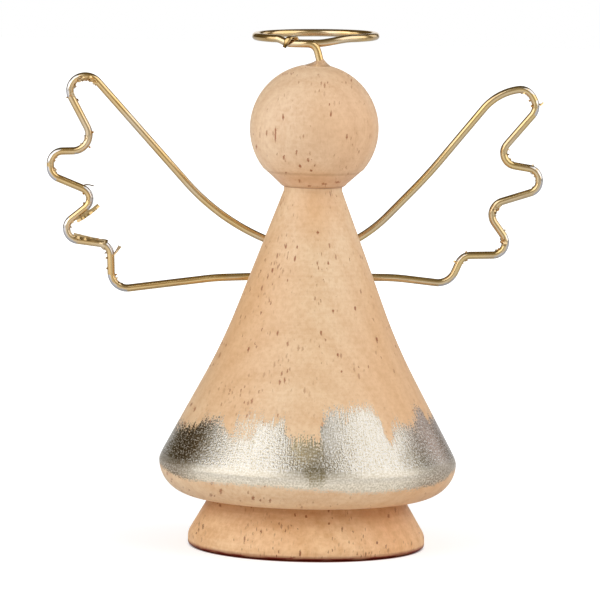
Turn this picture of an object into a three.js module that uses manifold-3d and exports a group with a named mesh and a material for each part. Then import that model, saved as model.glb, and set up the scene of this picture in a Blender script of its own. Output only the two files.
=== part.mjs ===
// Angel ornament: a turned beech foot, skirt and ball head with bent-wire wings and halo.
// Millimetres, +Z up. The front faces -Y and the origin is the middle of the resting face.
import * as THREE from 'three';
import { mergeVertices } from 'three/addons/utils/BufferGeometryUtils.js';
import Module from 'manifold-3d';

const wasm = await Module();
wasm.setup();

// Clearances
const glueLine = 0.2; // between glued wooden faces
const holeGap = 0.3; // round a dowel or a wire in its hole, and under its end
const wireGap = 0.4; // between two runs of wire, or a wire and the wood it passes

// Foot: a low cone with a short upright wall
const footHeight = 13.6;
const footRadius = 32.3;
const footTopRadius = 26.2;
const footWall = 3.1; // height where the wall would meet the cone
const footEdgeRound = 0.8;
const footShoulderRound = 1.2;

// Skirt: two cones that meet in a soft flare, over a full round hem
const skirtHeight = 84.2;
const hemRadius = 40.5;
const hemHeight = 9.2; // widest place of the hem above the underside
const undersideRadius = 30.8;
const hemShoulder = 0.8; // where the side would meet the lower cone, above the widest place
const hemShoulderRound = 3.2;
const flareRadius = 23.75;
const flareHeight = 41.3;
const flareRound = 10.5;
const neckRadius = 7.95;
const neckHeight = 1.1; // straight collar under the head

// Head: a ball with a flat turned on it for the neck, and a narrow facet above the flat
const headRadius = 17.5;
const facetHeight = 2.5; // from the flat up to the ledge that the facet ends at
const facetLedge = 0.35;

// Hidden dowels
const footDowelRadius = 5;
const footDowelDepth = 9; // into each of the two pieces
const neckDowelRadius = 3;
const neckDowelDepth = 8;

// Wire: aluminium, gilded
const wireRadius = 1.05;

// Wings: each is one wire, with both ends turned forward into holes in the back of the skirt
const wingDrop = 18.6; // upper holes below the top of the neck
const upperHoleReach = 7; // upper holes from the middle
const lowerHoleReach = 9;
const lowerHoleDrop = 7.6; // lower holes below the upper ones
const wingHoleDepth = 9;
const wingRootBend = 2.6;

// Corners of the wings seen from the front: across and up from the middle of the upper
// holes, and the radius that the wire is bent to there
const leftWingBends = [
  [-26, 8, 60],
  [-62.5, 48, 4.6],
  [-68.5, 43.5, 4],
  [-59, 26, 4.5],
  [-72.5, 25.5, 3.4],
  [-72.5, 19, 3.4],
  [-58.5, 13.5, 3.1],
  [-72.5, 2, 3.3],
  [-55.5, 0, 3.2],
  [-55, -12.5, 4.4],
  [-26.5, -8.5, 60],
];
const rightWingBends = [
  [16.5, 5.2, 40],
  [31.5, 21, 150],
  [50, 44, 15],
  [58.5, 45.5, 3.8],
  [61.5, 40, 3.8],
  [49, 25, 3.6],
  [62, 23, 3.2],
  [62.5, 17.5, 3.2],
  [47, 12.5, 3.9],
  [56.5, -0.5, 3.5],
  [41.5, -1, 3.5],
  [38, -9, 5],
  [23, -7.5, 60],
];

// Halo: one wire that rises from the crown, turns left into a ring behind the stem, comes
// round inside its own start and hooks over it with an end that pliers squeezed flat
const stemOffset = 1.45; // stem to the right of the middle
const stemHoleDepth = 9;
const haloRise = 5.5; // start of the ring above the crown
const haloOverhang = 0.05; // outside of the ring beyond the widest of the head
const haloStart = THREE.MathUtils.degToRad(8.2); // round the ring from the middle of its front
const haloHook = THREE.MathUtils.degToRad(25);
const haloTuck = THREE.MathUtils.degToRad(252); // from here the ring draws in to pass inside its start
const haloDip = 1.2; // front of the ring, where it lies along its own end, below the rest
const haloDipStart = [25, 40].map(THREE.MathUtils.degToRad); // the wire climbs out of the dip here
const haloDipEnd = [0, 40].map(THREE.MathUtils.degToRad); // and comes back into it here
const haloBackRise = 0.4; // back of the ring above its front, outside the dip
const haloLean = THREE.MathUtils.degToRad(1); // right side up
const stemBend = 2.3;
const hookTail = 3.2; // length of the hook's end, down from the top of the hook
const hookThick = 0.9;
const hookWide = 2.4;
const hookRound = 0.5; // inside the corner where the hook turns down
const hookPinch = 1.2; // length of the wedge that the cutters left at its end

// Glue bead round the foot of the stem
const beadRadius = 3;
const beadHeight = 1.7;
const beadCollar = 0.2; // thickness of the bead where it climbs the stem
const beadRim = 0.4; // edge of the bead below the crown

// Facets
const turnSides = 48;
const dowelSides = 24;
const wireSides = 8;
const wireStep = 1.6;
const cornerSteps = 4; // along a rounded corner of a profile
const ballSteps = 9;
const weldDistance = 1e-4;

// Derived places
const skirtBase = footHeight + glueLine;
const headSeat = Math.sqrt(headRadius ** 2 - neckRadius ** 2); // flat below the middle of the ball
const headCentre = skirtBase + skirtHeight + glueLine + headSeat;
const upperHoleHeight = skirtHeight - wingDrop;
const lowerHoleHeight = upperHoleHeight - lowerHoleDrop;
const wirePitch = 2 * wireRadius + wireGap;
const haloRadius = headRadius + haloOverhang - wireRadius;
const hookBend = wirePitch / 2; // where the ring's end turns up beside the wire it holds
const hookInside = wireRadius + wireGap; // from the middle of that wire to the hook's inner face
const hookOutside = hookInside + hookThick;

function coneRadiusAt(height) {
  const neckFoot = skirtHeight - neckHeight;
  const share = (neckFoot - height) / (neckFoot - flareHeight);
  return neckRadius + share * (flareRadius - neckRadius);
}
const wingPlane = coneRadiusAt(lowerHoleHeight) + wireRadius + wireGap; // behind the axis

// Profiles are paths of radius and height. A rounded corner leaves the first line and joins
// the second at a set distance from where the two would meet.
function roundCorner(path, corner, next, distance) {
  const from = path.currentPoint;
  const enter = corner.clone().add(from.clone().sub(corner).setLength(distance));
  const leave = corner.clone().add(next.clone().sub(corner).setLength(distance));
  path.lineTo(enter.x, enter.y);
  path.quadraticCurveTo(corner.x, corner.y, leave.x, leave.y);
}

function turned(path, { steps = cornerSteps, sides = turnSides } = {}) {
  return new THREE.LatheGeometry(path.getPoints(steps), sides).rotateX(Math.PI / 2);
}

// Welded positions only, without the collapsed triangles at the axis of a lathe
function welded(geometry) {
  const bare = geometry.clone();
  bare.deleteAttribute('normal');
  bare.deleteAttribute('uv');
  const merged = mergeVertices(bare, weldDistance);
  const corners = merged.index.array;
  const kept = [];
  for (let i = 0; i < corners.length; i += 3) {
    const [a, b, c] = [corners[i], corners[i + 1], corners[i + 2]];
    if (a !== b && b !== c && c !== a) kept.push(a, b, c);
  }
  merged.setIndex(kept);
  return merged;
}

function solidOf(geometry) {
  const merged = welded(geometry);
  return new wasm.Manifold(
    new wasm.Mesh({
      numProp: 3,
      vertProperties: new Float32Array(merged.attributes.position.array),
      triVerts: new Uint32Array(merged.index.array),
    }),
  );
}

function geometryOf(solid) {
  const mesh = solid.getMesh();
  const geometry = new THREE.BufferGeometry();
  geometry.setAttribute('position', new THREE.BufferAttribute(new Float32Array(mesh.vertProperties), 3));
  geometry.setIndex(Array.from(mesh.triVerts));
  return geometry;
}

function cutFrom(geometry, cutters) {
  return geometryOf(cutters.reduce((solid, cutter) => solid.subtract(solidOf(cutter)), solidOf(geometry)));
}

function joined(geometry, other) {
  return geometryOf(solidOf(geometry).add(solidOf(other)));
}

// A drill's path from one point to another
function drill(from, to, radius) {
  const along = to.clone().sub(from);
  const turn = new THREE.Quaternion().setFromUnitVectors(
    new THREE.Vector3(0, 1, 0),
    along.clone().normalize(),
  );
  const middle = from.clone().add(to).multiplyScalar(0.5);
  return new THREE.CylinderGeometry(radius, radius, along.length(), dowelSides)
    .applyQuaternion(turn)
    .translate(middle.x, middle.y, middle.z);
}

// Wire
class RoundBend extends THREE.Curve {
  constructor(centre, spoke, axis, angle) {
    super();
    this.centre = centre;
    this.spoke = spoke;
    this.axis = axis;
    this.angle = angle;
  }

  getPoint(t, target = new THREE.Vector3()) {
    return target.copy(this.spoke).applyAxisAngle(this.axis, this.angle * t).add(this.centre);
  }
}

// Adds straight runs and round bends to a path. Each corner is a point and its bend radius.
function addBentRuns(path, start, corners, end) {
  let from = start;
  corners.forEach(({ point, bend }, i) => {
    const next = i + 1 < corners.length ? corners[i + 1].point : end;
    const into = point.clone().sub(from).normalize();
    const out = next.clone().sub(point).normalize();
    const angle = into.angleTo(out);
    const reach = bend * Math.tan(angle / 2);
    const enter = point.clone().addScaledVector(into, -reach);
    const leave = point.clone().addScaledVector(out, reach);
    const axis = into.clone().cross(out).normalize();
    const spoke = into.clone().cross(axis).multiplyScalar(bend);
    path.add(new THREE.LineCurve3(from, enter));
    path.add(new RoundBend(enter.clone().sub(spoke), spoke, axis, angle));
    from = leave;
  });
  path.add(new THREE.LineCurve3(from, end));
}

function wireAlong(path) {
  const section = new THREE.Shape().absarc(0, 0, wireRadius, 0, 2 * Math.PI);
  return new THREE.ExtrudeGeometry(section, {
    extrudePath: path,
    steps: Math.round(path.getLength() / wireStep),
    curveSegments: wireSides / 2,
  });
}

// Colours and finishes
function finish(color, roughness, metalness = 0) {
  return new THREE.MeshStandardMaterial({ color, roughness, metalness });
}

function piece(name, geometry, material) {
  const mesh = new THREE.Mesh(welded(geometry), material);
  mesh.name = name;
  return mesh;
}

// Foot
function makeFoot() {
  const hole = footDowelRadius + holeGap;
  const holeFloor = footHeight - footDowelDepth - holeGap;
  const path = new THREE.Path();
  path.moveTo(0, 0);
  const shoulder = new THREE.Vector2(footRadius, footWall);
  const top = new THREE.Vector2(footTopRadius, footHeight);
  roundCorner(path, new THREE.Vector2(footRadius, 0), shoulder, footEdgeRound);
  roundCorner(path, shoulder, top, footShoulderRound);
  path.lineTo(top.x, top.y);
  path.lineTo(hole, footHeight);
  path.lineTo(hole, holeFloor);
  path.lineTo(0, holeFloor);
  return piece('foot', turned(path), finish('#d6a374', 0.55));
}

// A dowel, half in each of the two pieces that meet at a height
function makeDowel(name, radius, depth, height) {
  const rod = new THREE.CylinderGeometry(radius, radius, 2 * depth + glueLine, dowelSides);
  const dowel = piece(name, rod.rotateX(Math.PI / 2), finish('#dcb98c', 0.6));
  dowel.position.z = height + glueLine / 2;
  return dowel;
}

// The four wing holes in the skirt's own frame
function wingHole(across, height) {
  const mouth = Math.sqrt(coneRadiusAt(height) ** 2 - across ** 2);
  const floor = new THREE.Vector3(across, mouth - wingHoleDepth, height);
  return { floor, wireEnd: floor.clone().setY(floor.y + holeGap), turn: floor.clone().setY(wingPlane) };
}

function wingHoles(side) {
  return {
    upper: wingHole(side * upperHoleReach, upperHoleHeight),
    lower: wingHole(side * lowerHoleReach, lowerHoleHeight),
  };
}

// Skirt
function makeSkirt() {
  const footHole = footDowelRadius + holeGap;
  const footHoleTop = footDowelDepth + holeGap;
  const neckHole = neckDowelRadius + holeGap;
  const neckHoleFloor = skirtHeight - neckDowelDepth - holeGap;
  const flare = new THREE.Vector2(flareRadius, flareHeight);
  const neckFoot = new THREE.Vector2(neckRadius, skirtHeight - neckHeight);
  const path = new THREE.Path();
  path.moveTo(0, footHoleTop);
  path.lineTo(footHole, footHoleTop);
  path.lineTo(footHole, 0);
  path.lineTo(undersideRadius, 0);
  const bulge = hemRadius - undersideRadius;
  path.absellipse(undersideRadius, hemHeight, bulge, hemHeight, -Math.PI / 2, 0);
  const hemCorner = new THREE.Vector2(hemRadius, hemHeight + hemShoulder);
  const coneStart = hemCorner.clone().add(flare.clone().sub(hemCorner).setLength(hemShoulderRound));
  path.quadraticCurveTo(hemCorner.x, hemCorner.y, coneStart.x, coneStart.y);
  roundCorner(path, flare, neckFoot, flareRound);
  path.lineTo(neckFoot.x, neckFoot.y);
  path.lineTo(neckRadius, skirtHeight);
  path.lineTo(neckHole, skirtHeight);
  path.lineTo(neckHole, neckHoleFloor);
  path.lineTo(0, neckHoleFloor);
  const holes = [-1, 1].flatMap((side) => Object.values(wingHoles(side)));
  const drills = holes.map(({ floor, turn }) => drill(floor, turn, wireRadius + holeGap));
  return piece('skirt_body', cutFrom(turned(path), drills), finish('#dfb083', 0.55));
}

// Wings
function makeWing(name, side, bends) {
  const { upper, lower } = wingHoles(side);
  const corners = bends.map(([across, up, bend]) => ({
    point: new THREE.Vector3(across, wingPlane, upperHoleHeight + up),
    bend,
  }));
  corners.unshift({ point: upper.turn, bend: wingRootBend });
  corners.push({ point: lower.turn, bend: wingRootBend });
  const path = new THREE.CurvePath();
  addBentRuns(path, upper.wireEnd, corners, lower.wireEnd);
  return piece(name, wireAlong(path), finish('#cfb27a', 0.25, 1));
}

// Halo, in the head's own frame with its origin at the middle of the ball
function haloPoint(angle, radius) {
  const across = -radius * Math.sin(angle);
  const climbed = THREE.MathUtils.smoothstep(angle, ...haloDipStart);
  const toCome = THREE.MathUtils.smoothstep(2 * Math.PI - angle, ...haloDipEnd);
  const rise = haloDip * climbed * toCome + (haloBackRise * (1 - Math.cos(angle))) / 2;
  return new THREE.Vector3(
    across,
    haloRadius - radius * Math.cos(angle),
    headRadius + haloRise + rise + across * Math.tan(haloLean),
  );
}

class HaloRing extends THREE.Curve {
  getPoint(t, target = new THREE.Vector3()) {
    const angle = THREE.MathUtils.lerp(haloStart, 2 * Math.PI, t);
    const tuck = THREE.MathUtils.smoothstep(angle, haloTuck, 2 * Math.PI);
    return target.copy(haloPoint(angle, haloRadius - tuck * wirePitch));
  }
}

function haloStem() {
  const ringStart = haloPoint(haloStart, haloRadius);
  const corner = new THREE.Vector3(stemBend, 0, 0).add(ringStart);
  const crown = new THREE.Vector3(stemOffset, 0, Math.sqrt(headRadius ** 2 - stemOffset ** 2));
  const down = crown.clone().sub(corner).normalize();
  return { ringStart, corner, crown, down, floor: crown.clone().addScaledVector(down, stemHoleDepth) };
}

function stemDrill() {
  const { corner, floor } = haloStem();
  return drill(floor, corner, wireRadius + holeGap);
}

// The hook's flat end, drawn from the side: back to front over the wire that it holds, and
// down before it to the wedge that the cutters left
function hookEnd() {
  const back = -wirePitch - wireRadius;
  const turn = hookInside - hookRound;
  const tip = hookOutside - hookTail;
  const outline = new THREE.Shape();
  outline.moveTo(back, hookInside);
  outline.lineTo(turn, hookInside);
  outline.absarc(turn, turn, hookRound, Math.PI / 2, 0, true);
  outline.lineTo(hookInside, tip);
  outline.lineTo(hookOutside, tip + hookPinch);
  outline.lineTo(hookOutside, turn);
  outline.absarc(turn, turn, hookRound + hookThick, 0, Math.PI / 2);
  outline.lineTo(back, hookOutside);
  const flat = new THREE.ExtrudeGeometry(outline, {
    depth: hookWide,
    bevelEnabled: false,
    curveSegments: cornerSteps,
  });
  const outward = new THREE.Vector3(-Math.sin(haloHook), -Math.cos(haloHook), 0);
  const up = new THREE.Vector3(0, 0, 1);
  const place = new THREE.Matrix4()
    .makeBasis(outward, up, outward.clone().cross(up))
    .setPosition(haloPoint(haloHook, haloRadius));
  return flat.translate(0, 0, -hookWide / 2).applyMatrix4(place);
}

function makeHalo() {
  const { ringStart, corner, down, floor } = haloStem();
  const path = new THREE.CurvePath();
  const stemTop = corner.clone().addScaledVector(down, stemBend);
  path.add(new THREE.LineCurve3(floor.clone().addScaledVector(down, -holeGap), stemTop));
  path.add(new THREE.QuadraticBezierCurve3(stemTop, corner, ringStart));
  path.add(new HaloRing());
  const behind = haloPoint(haloHook, haloRadius - wirePitch);
  const above = behind.clone().setZ(behind.z + hookInside + hookThick / 2);
  addBentRuns(path, haloPoint(0, haloRadius - wirePitch), [{ point: behind, bend: hookBend }], above);
  return piece('halo_wire', joined(wireAlong(path), hookEnd()), finish('#d2b06c', 0.2, 1));
}

function makeGlueBead() {
  const crown = headRadius;
  const collar = wireRadius + holeGap + beadCollar;
  const path = new THREE.Path();
  path.moveTo(0, crown - beadRadius);
  path.lineTo(beadRadius, crown - beadRadius);
  path.lineTo(beadRadius, crown - beadRim);
  path.quadraticCurveTo(collar, crown, collar, crown + beadHeight);
  path.lineTo(0, crown + beadHeight);
  const mound = turned(path, { sides: dowelSides }).translate(stemOffset, 0, 0);
  const ball = new THREE.SphereGeometry(headRadius + glueLine, turnSides, turnSides / 2);
  return piece('halo_glue_bead', cutFrom(mound, [ball, stemDrill()]), finish('#e9dfc6', 0.1));
}

// Head
function makeHead() {
  const hole = neckDowelRadius + holeGap;
  const holeTop = -headSeat + neckDowelDepth + holeGap;
  const ledge = headSeat - facetHeight;
  const ledgeAngle = -Math.asin(ledge / headRadius);
  const path = new THREE.Path();
  path.moveTo(0, holeTop);
  path.lineTo(hole, holeTop);
  path.lineTo(hole, -headSeat);
  path.lineTo(neckRadius, -headSeat);
  path.lineTo(headRadius * Math.cos(ledgeAngle) - facetLedge, -ledge);
  path.absarc(0, 0, headRadius, ledgeAngle, Math.PI / 2);
  const ball = turned(path, { steps: ballSteps });
  return piece('head_ball', cutFrom(ball, [stemDrill()]), finish('#dba983', 0.55));
}

const skirt = new THREE.Group();
skirt.position.z = skirtBase;
skirt.add(
  makeSkirt(),
  makeDowel('neck_dowel', neckDowelRadius, neckDowelDepth, skirtHeight),
  makeWing('wing_wire_left', -1, leftWingBends),
  makeWing('wing_wire_right', 1, rightWingBends),
);

const head = new THREE.Group();
head.position.z = headCentre;
head.add(makeHead(), makeHalo(), makeGlueBead());

const angel = new THREE.Group();
angel.add(
  makeFoot(),
  makeDowel('foot_dowel', footDowelRadius, footDowelDepth, footHeight),
  skirt,
  head,
);

export default angel;
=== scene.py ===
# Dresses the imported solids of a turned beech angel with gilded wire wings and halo.
import bpy
import math
import numpy as np
import random
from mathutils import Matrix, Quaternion, Vector


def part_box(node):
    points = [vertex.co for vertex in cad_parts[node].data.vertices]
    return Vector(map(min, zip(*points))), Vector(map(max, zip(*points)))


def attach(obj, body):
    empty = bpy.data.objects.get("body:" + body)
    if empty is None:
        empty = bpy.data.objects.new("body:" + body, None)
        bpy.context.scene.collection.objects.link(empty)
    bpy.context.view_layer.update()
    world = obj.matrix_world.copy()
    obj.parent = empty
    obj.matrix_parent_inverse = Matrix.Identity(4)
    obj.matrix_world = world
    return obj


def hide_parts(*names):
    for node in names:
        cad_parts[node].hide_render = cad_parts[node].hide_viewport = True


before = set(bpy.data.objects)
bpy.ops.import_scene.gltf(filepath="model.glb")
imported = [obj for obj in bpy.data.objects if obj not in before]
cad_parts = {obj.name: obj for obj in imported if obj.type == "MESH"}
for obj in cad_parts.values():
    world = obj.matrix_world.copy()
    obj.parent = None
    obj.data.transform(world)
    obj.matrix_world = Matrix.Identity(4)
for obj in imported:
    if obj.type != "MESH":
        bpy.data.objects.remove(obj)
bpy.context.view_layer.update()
mm = 0.001  # sizes below are millimetres, Blender's are metres
print("frame loaded,", len(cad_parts), "nodes")


# Helpers for nodes and materials
def linearColour(code):
    channels = [int(code[i:i + 2], 16) / 255 for i in (1, 3, 5)]
    linear = [c / 12.92 if c <= 0.04045 else ((c + 0.055) / 1.055) ** 2.4 for c in channels]
    return (*linear, 1.0)


def setInputs(tree, node, inputs):
    # inputs are a dictionary by socket, or a list in the order of the sockets
    for socket, value in inputs.items() if isinstance(inputs, dict) else enumerate(inputs):
        if isinstance(value, bpy.types.NodeSocket):
            tree.links.new(value, node.inputs[socket])
        else:
            node.inputs[socket].default_value = value


def addNode(tree, kind, inputs=(), out=0, **settings):
    # a kind that calculates ends in its operation
    start, *operation = kind.split(".")
    node = tree.nodes.new("ShaderNode" + start)
    if operation:
        node.operation = operation[0]
    for name, value in settings.items():
        setattr(node, name, value)
    setInputs(tree, node, inputs)
    return node.outputs[out]


inColour = {"out": 2, "data_type": "RGBA"}  # for a Mix node between two colours


def startMaterial(name):
    material = bpy.data.materials.new(name)
    material.use_nodes = True
    return material, material.node_tree, material.node_tree.nodes["Principled BSDF"]


def perMm(*sizes):
    return tuple(1 / size for size in sizes)


def unevenness(tree, spot, sizes, detail, out=0):
    # a soft random pattern whose blobs have these sizes
    room = addNode(tree, "Mapping", {"Vector": spot, "Scale": perMm(*sizes)})
    return addNode(tree, "TexNoise", {"Vector": room, "Scale": 1.0, "Detail": detail}, out)


def ovalPlace(tree, spot, middle, half, edge, lean=0.0):
    # 1 in an oval place and 0 away from it; the edge says at how many half sizes it starts and is whole
    laid = {"Vector": spot, "Location": middle, "Rotation": (0, lean, 0), "Scale": half}
    scaled = addNode(tree, "Mapping", laid, vector_type="TEXTURE")
    reach = addNode(tree, "VectorMath.LENGTH", [scaled], "Value")
    return addNode(tree, "MapRange", [reach, *edge])


def ovalPlaces(tree, spot, places, edge, apex=None):
    # places by their middle and half sizes; on a cone they lean towards its apex
    drawn = None
    for middle, half in places:
        lean = math.atan2(-middle[0], apex - middle[2]) if apex else 0.0
        place = ovalPlace(tree, spot, middle, half, edge, lean)
        drawn = addNode(tree, "Math.MAXIMUM", [place, drawn]) if drawn else place
    return drawn


# Helpers for objects and meshes
def boxInMm(node):
    low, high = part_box(node)
    return low / mm, high / mm


def addObject(name, data):
    item = bpy.data.objects.new(name, data)
    bpy.context.scene.collection.objects.link(item)
    return item


def addMesh(name, points, faces):
    mesh = bpy.data.meshes.new(name)
    mesh.from_pydata([Vector(p) * mm for p in points], [], faces)
    return addObject(name, mesh)


def turnTo(item, direction, axis, roll=0.0):
    item.rotation_mode = "QUATERNION"
    item.rotation_quaternion = direction.to_track_quat(axis, "Y") @ Quaternion((0, 0, 1), math.radians(roll))


def dressPiece(name, points, faces, material, slot, node=None, sharpAngle=35):
    piece = addMesh(name, points, faces)
    piece.data.materials.append(material)
    piece.data.shade_smooth()
    piece.data.set_sharp_from_angle(angle=math.radians(sharpAngle))
    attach(piece, "root")
    if node:
        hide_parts(node)
    return piece


# Profiles are lists of (radius, height), turned round Z
def straightTo(profile, end, step=1.5):
    start, end = np.array(profile[-1]), np.array(end)
    count = max(1, round(float(np.linalg.norm(end - start)) / step))
    profile += [tuple(start + (end - start) * k / count) for k in range(1, count + 1)]


def curveTo(profile, corner, end, steps=10):
    start, corner, end = np.array(profile[-1]), np.array(corner), np.array(end)
    for k in range(1, steps + 1):
        t = k / steps
        profile.append(tuple((1 - t) ** 2 * start + 2 * t * (1 - t) * corner + t * t * end))


def roundCorner(profile, corner, following, distance):
    corner = np.array(corner)
    back = np.array(profile[-1]) - corner
    ahead = np.array(following) - corner
    straightTo(profile, corner + back / np.linalg.norm(back) * distance)
    curveTo(profile, corner, corner + ahead / np.linalg.norm(ahead) * distance)


def arcTo(profile, centre, reach, start, end, steps):
    for k in range(1, steps + 1):
        angle = start + (end - start) * k / steps
        profile.append((centre[0] + reach[0] * math.cos(angle), centre[1] + reach[1] * math.sin(angle)))


def turned(profile, sides=192):
    points, rings, faces = [], [], []
    for radius, height in profile:
        count = sides if radius > 1e-6 else 1
        rings.append(range(len(points), len(points) + count))
        for k in range(count):
            angle = 2 * math.pi * k / sides
            points.append((radius * math.sin(angle), -radius * math.cos(angle), height))
    for low, high in zip(rings, rings[1:]):
        for k in range(sides):
            corners = [low[k % len(low)], low[(k + 1) % len(low)]]
            corners += [high[(k + 1) % len(high)], high[k % len(high)]]
            faces.append(list(dict.fromkeys(corners)))
    return points, faces


def boreHoles(piece, holes, sides=40):
    # each hole is (floor, mouth, radius), and the mouth stands clear of the wood
    for floor, mouth, radius in holes:
        along = (mouth - floor).length
        drill = addMesh("drill", *turned([(0, 0), (radius, 0), (radius, along), (0, along)], sides))
        drill.location = floor * mm
        turnTo(drill, mouth - floor, "Z")
        cut = piece.modifiers.new("bore", "BOOLEAN")
        cut.object = drill
        cut.solver = "EXACT"
        graph = bpy.context.evaluated_depsgraph_get()
        piece.data = bpy.data.meshes.new_from_object(piece.evaluated_get(graph))
        piece.modifiers.clear()
        bpy.data.objects.remove(drill)


# Camera at the photograph's angle: a long lens from a little above, tilted a touch
camera = {"place": (0, -1385.7, 199.7), "aim": (-2.94, 0, 66.98), "lens": 306.9, "roll": 1.14}


def makeCamera():
    data = bpy.data.cameras.new("camera")
    data.lens = camera["lens"]
    data.clip_start, data.clip_end = 0.05, 20
    viewer = addObject("camera", data)
    viewer.location = Vector(camera["place"]) * mm
    turnTo(viewer, Vector(camera["aim"]) - Vector(camera["place"]), "-Z", camera["roll"])
    bpy.context.scene.camera = viewer


makeCamera()
print("camera placed")
skirtLow, skirtHigh = boxInMm("skirt_body")
headLow, headHigh = boxInMm("head_ball")
headRadius = headHigh.x
headCentre = headHigh.z - headRadius
creaseDrop = 11.7  # from the ball's middle down to the ledge over its facet
footLow, footHigh = boxInMm("foot")

# Beech, turned and fine-sanded under a thin matt lacquer: a pale warm tan with faint growth
# rings, short brown ray flecks that stand along the grain, and a low soft sheen. An edge is the
# pair of values where a pattern starts and where it is whole
beech = {
    "pith": (46.0, 150.0, 0.0),  # middle of the tree, well outside the turned pieces
    "pithLean": 0.05,  # how far the rings' distance from it changes with height
    "ringWidth": 5.5,
    "ringWarp": 11.0,
    "ringEdge": (-0.4, 1.0),
    "toneSize": (30.0, 30.0, 75.0),  # slow patches of paler and deeper wood
    "toneEdge": (0.36, 0.64),
    "toneShare": 0.4,  # how much is left of them where a look sets its own places of painted shade
    # painted shade: how far a look's given places are pushed to the deep tone, and the edge of each place
    "paintedShadeShare": 0.85,
    "paintedShadeEdge": (1.3, 0.3),
    "fleckCell": (0.9, 5.0, 2.7),  # room for one ray: across, inward and along the grain
    "fleckShare": 0.24,
    "crumbCell": (0.55, 2.5, 1.7),  # smaller rays between them
    "crumbShare": 0.2,
    "rayEdge": (0.36, 0.2),
    "rayLeast": 0.2,  # depth of the palest ray
    "clusterSize": (8.0, 8.0, 8.0),
    "clusterEdge": (0.38, 0.66),
    "crowding": (1.8, 0.7),  # how much fuller a crowded side is, and the side across from it
    "raggedSize": (0.6, 0.6, 0.6),  # how coarse the unevenness of a ray's outline is, and its reach
    "raggedReach": (0.45, 0.0, 1.1),
    "narrowing": -0.7,  # how rays draw together towards a cone's apex
    "markDepth": 4.0,  # how far inward a large ray runs
    "markEdge": (1.15, 0.6),
    "poreCell": (0.35, 0.35, 2.2),  # drawn a little coarse, to show
    "poreEdge": (0.54, 0.8),
    "poreDepth": 0.2,
    "inkShare": 0.85,
    "mottleSize": (1.3, 1.3, 1.3),
    "latheLine": (24.0, 24.0, 0.5),  # faint rings that the sanding left round the piece
    "latheShare": 0.22,
    "fineEdge": (0.38, 0.66),
    "fineDepth": 0.34,
    "lineBreak": (6.0, 6.0, 1.0),  # patches that a dark line fades and comes back in
    "breakEdge": (0.3, 0.55),
    "breakLeast": 0.6,
    "lineWhole": 0.4,  # share of a line's half width that is fully dark
    "roughness": (0.32, 0.7),  # between and along the pores
    "paintedRoughness": 0.42,  # where paint shows the wood between its specks
    "lacquer": 0.2,
    "lacquerRoughness": 0.4,
    "relief": 0.03,  # how deep the dark rays and pores lie
}


def beechGround(tree, look, spot, grain):
    # slow patches of paler and deeper wood, and growth rings that they warp
    tone = unevenness(tree, grain, beech["toneSize"], 2.0)
    fromPith = addNode(tree, "VectorMath.SUBTRACT", [grain, beech["pith"]])
    level = addNode(tree, "VectorMath.MULTIPLY", [fromPith, (1, 1, beech["pithLean"])])
    distance = addNode(tree, "VectorMath.LENGTH", [level], "Value")
    warped = addNode(tree, "Math.MULTIPLY_ADD", [tone, beech["ringWarp"], distance])
    phase = addNode(tree, "Math.MULTIPLY", [warped, 2 * math.pi / beech["ringWidth"]])
    wave = addNode(tree, "Math.SINE", [phase])
    ring = addNode(tree, "MapRange", [wave, *beech["ringEdge"], 0.0, look["ringDepth"]])
    patch = addNode(tree, "MapRange", [tone, *beech["toneEdge"]])
    # painted shade: the look's given places are pushed towards the deep tone
    if look["paintedShadePlaces"]:
        deep = ovalPlaces(tree, spot, look["paintedShadePlaces"], beech["paintedShadeEdge"])
        some = addNode(tree, "Math.MULTIPLY", [patch, beech["toneShare"]])
        patch = addNode(tree, "Math.MULTIPLY_ADD", [deep, beech["paintedShadeShare"], some])
    tones = {6: linearColour(look["pale"]), 7: linearColour(look["deep"])}
    patched = addNode(tree, "Mix", {0: patch, **tones}, **inColour)
    # fine mottling, and faint sanding lines round the piece
    mottle = unevenness(tree, grain, beech["mottleSize"], 3.0)
    sanding = unevenness(tree, grain, beech["latheLine"], 2.0)
    fine = addNode(tree, "Mix", {0: beech["latheShare"], 2: mottle, 3: sanding})
    fineTone = addNode(tree, "MapRange", [fine, *beech["fineEdge"], 0.0, beech["fineDepth"]])
    deeper = addNode(tree, "Math.ADD", [fineTone, ring])
    return addNode(tree, "Mix", {0: deeper, 6: patched, 7: linearColour(look["ring"])}, **inColour)


def rayFlecks(tree, grain, cell, share, cluster):
    room = addNode(tree, "Mapping", {"Vector": grain, "Scale": perMm(*cell)})
    rays = addNode(tree, "TexVoronoi", {"Vector": room, "Scale": 1.0, "Randomness": 0.9})
    lot = addNode(tree, "SeparateColor", [rays.node.outputs["Color"]])
    limit = addNode(tree, "Math.MULTIPLY", [cluster, share])
    kept = addNode(tree, "Math.LESS_THAN", [lot, limit])
    body = addNode(tree, "MapRange", [rays, *beech["rayEdge"]])
    shade = addNode(tree, "MapRange", [lot.node.outputs[1], 0.0, 1.0, beech["rayLeast"]])
    drawn = addNode(tree, "Math.MULTIPLY", [body, kept])
    return addNode(tree, "Math.MULTIPLY", [drawn, shade])


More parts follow.
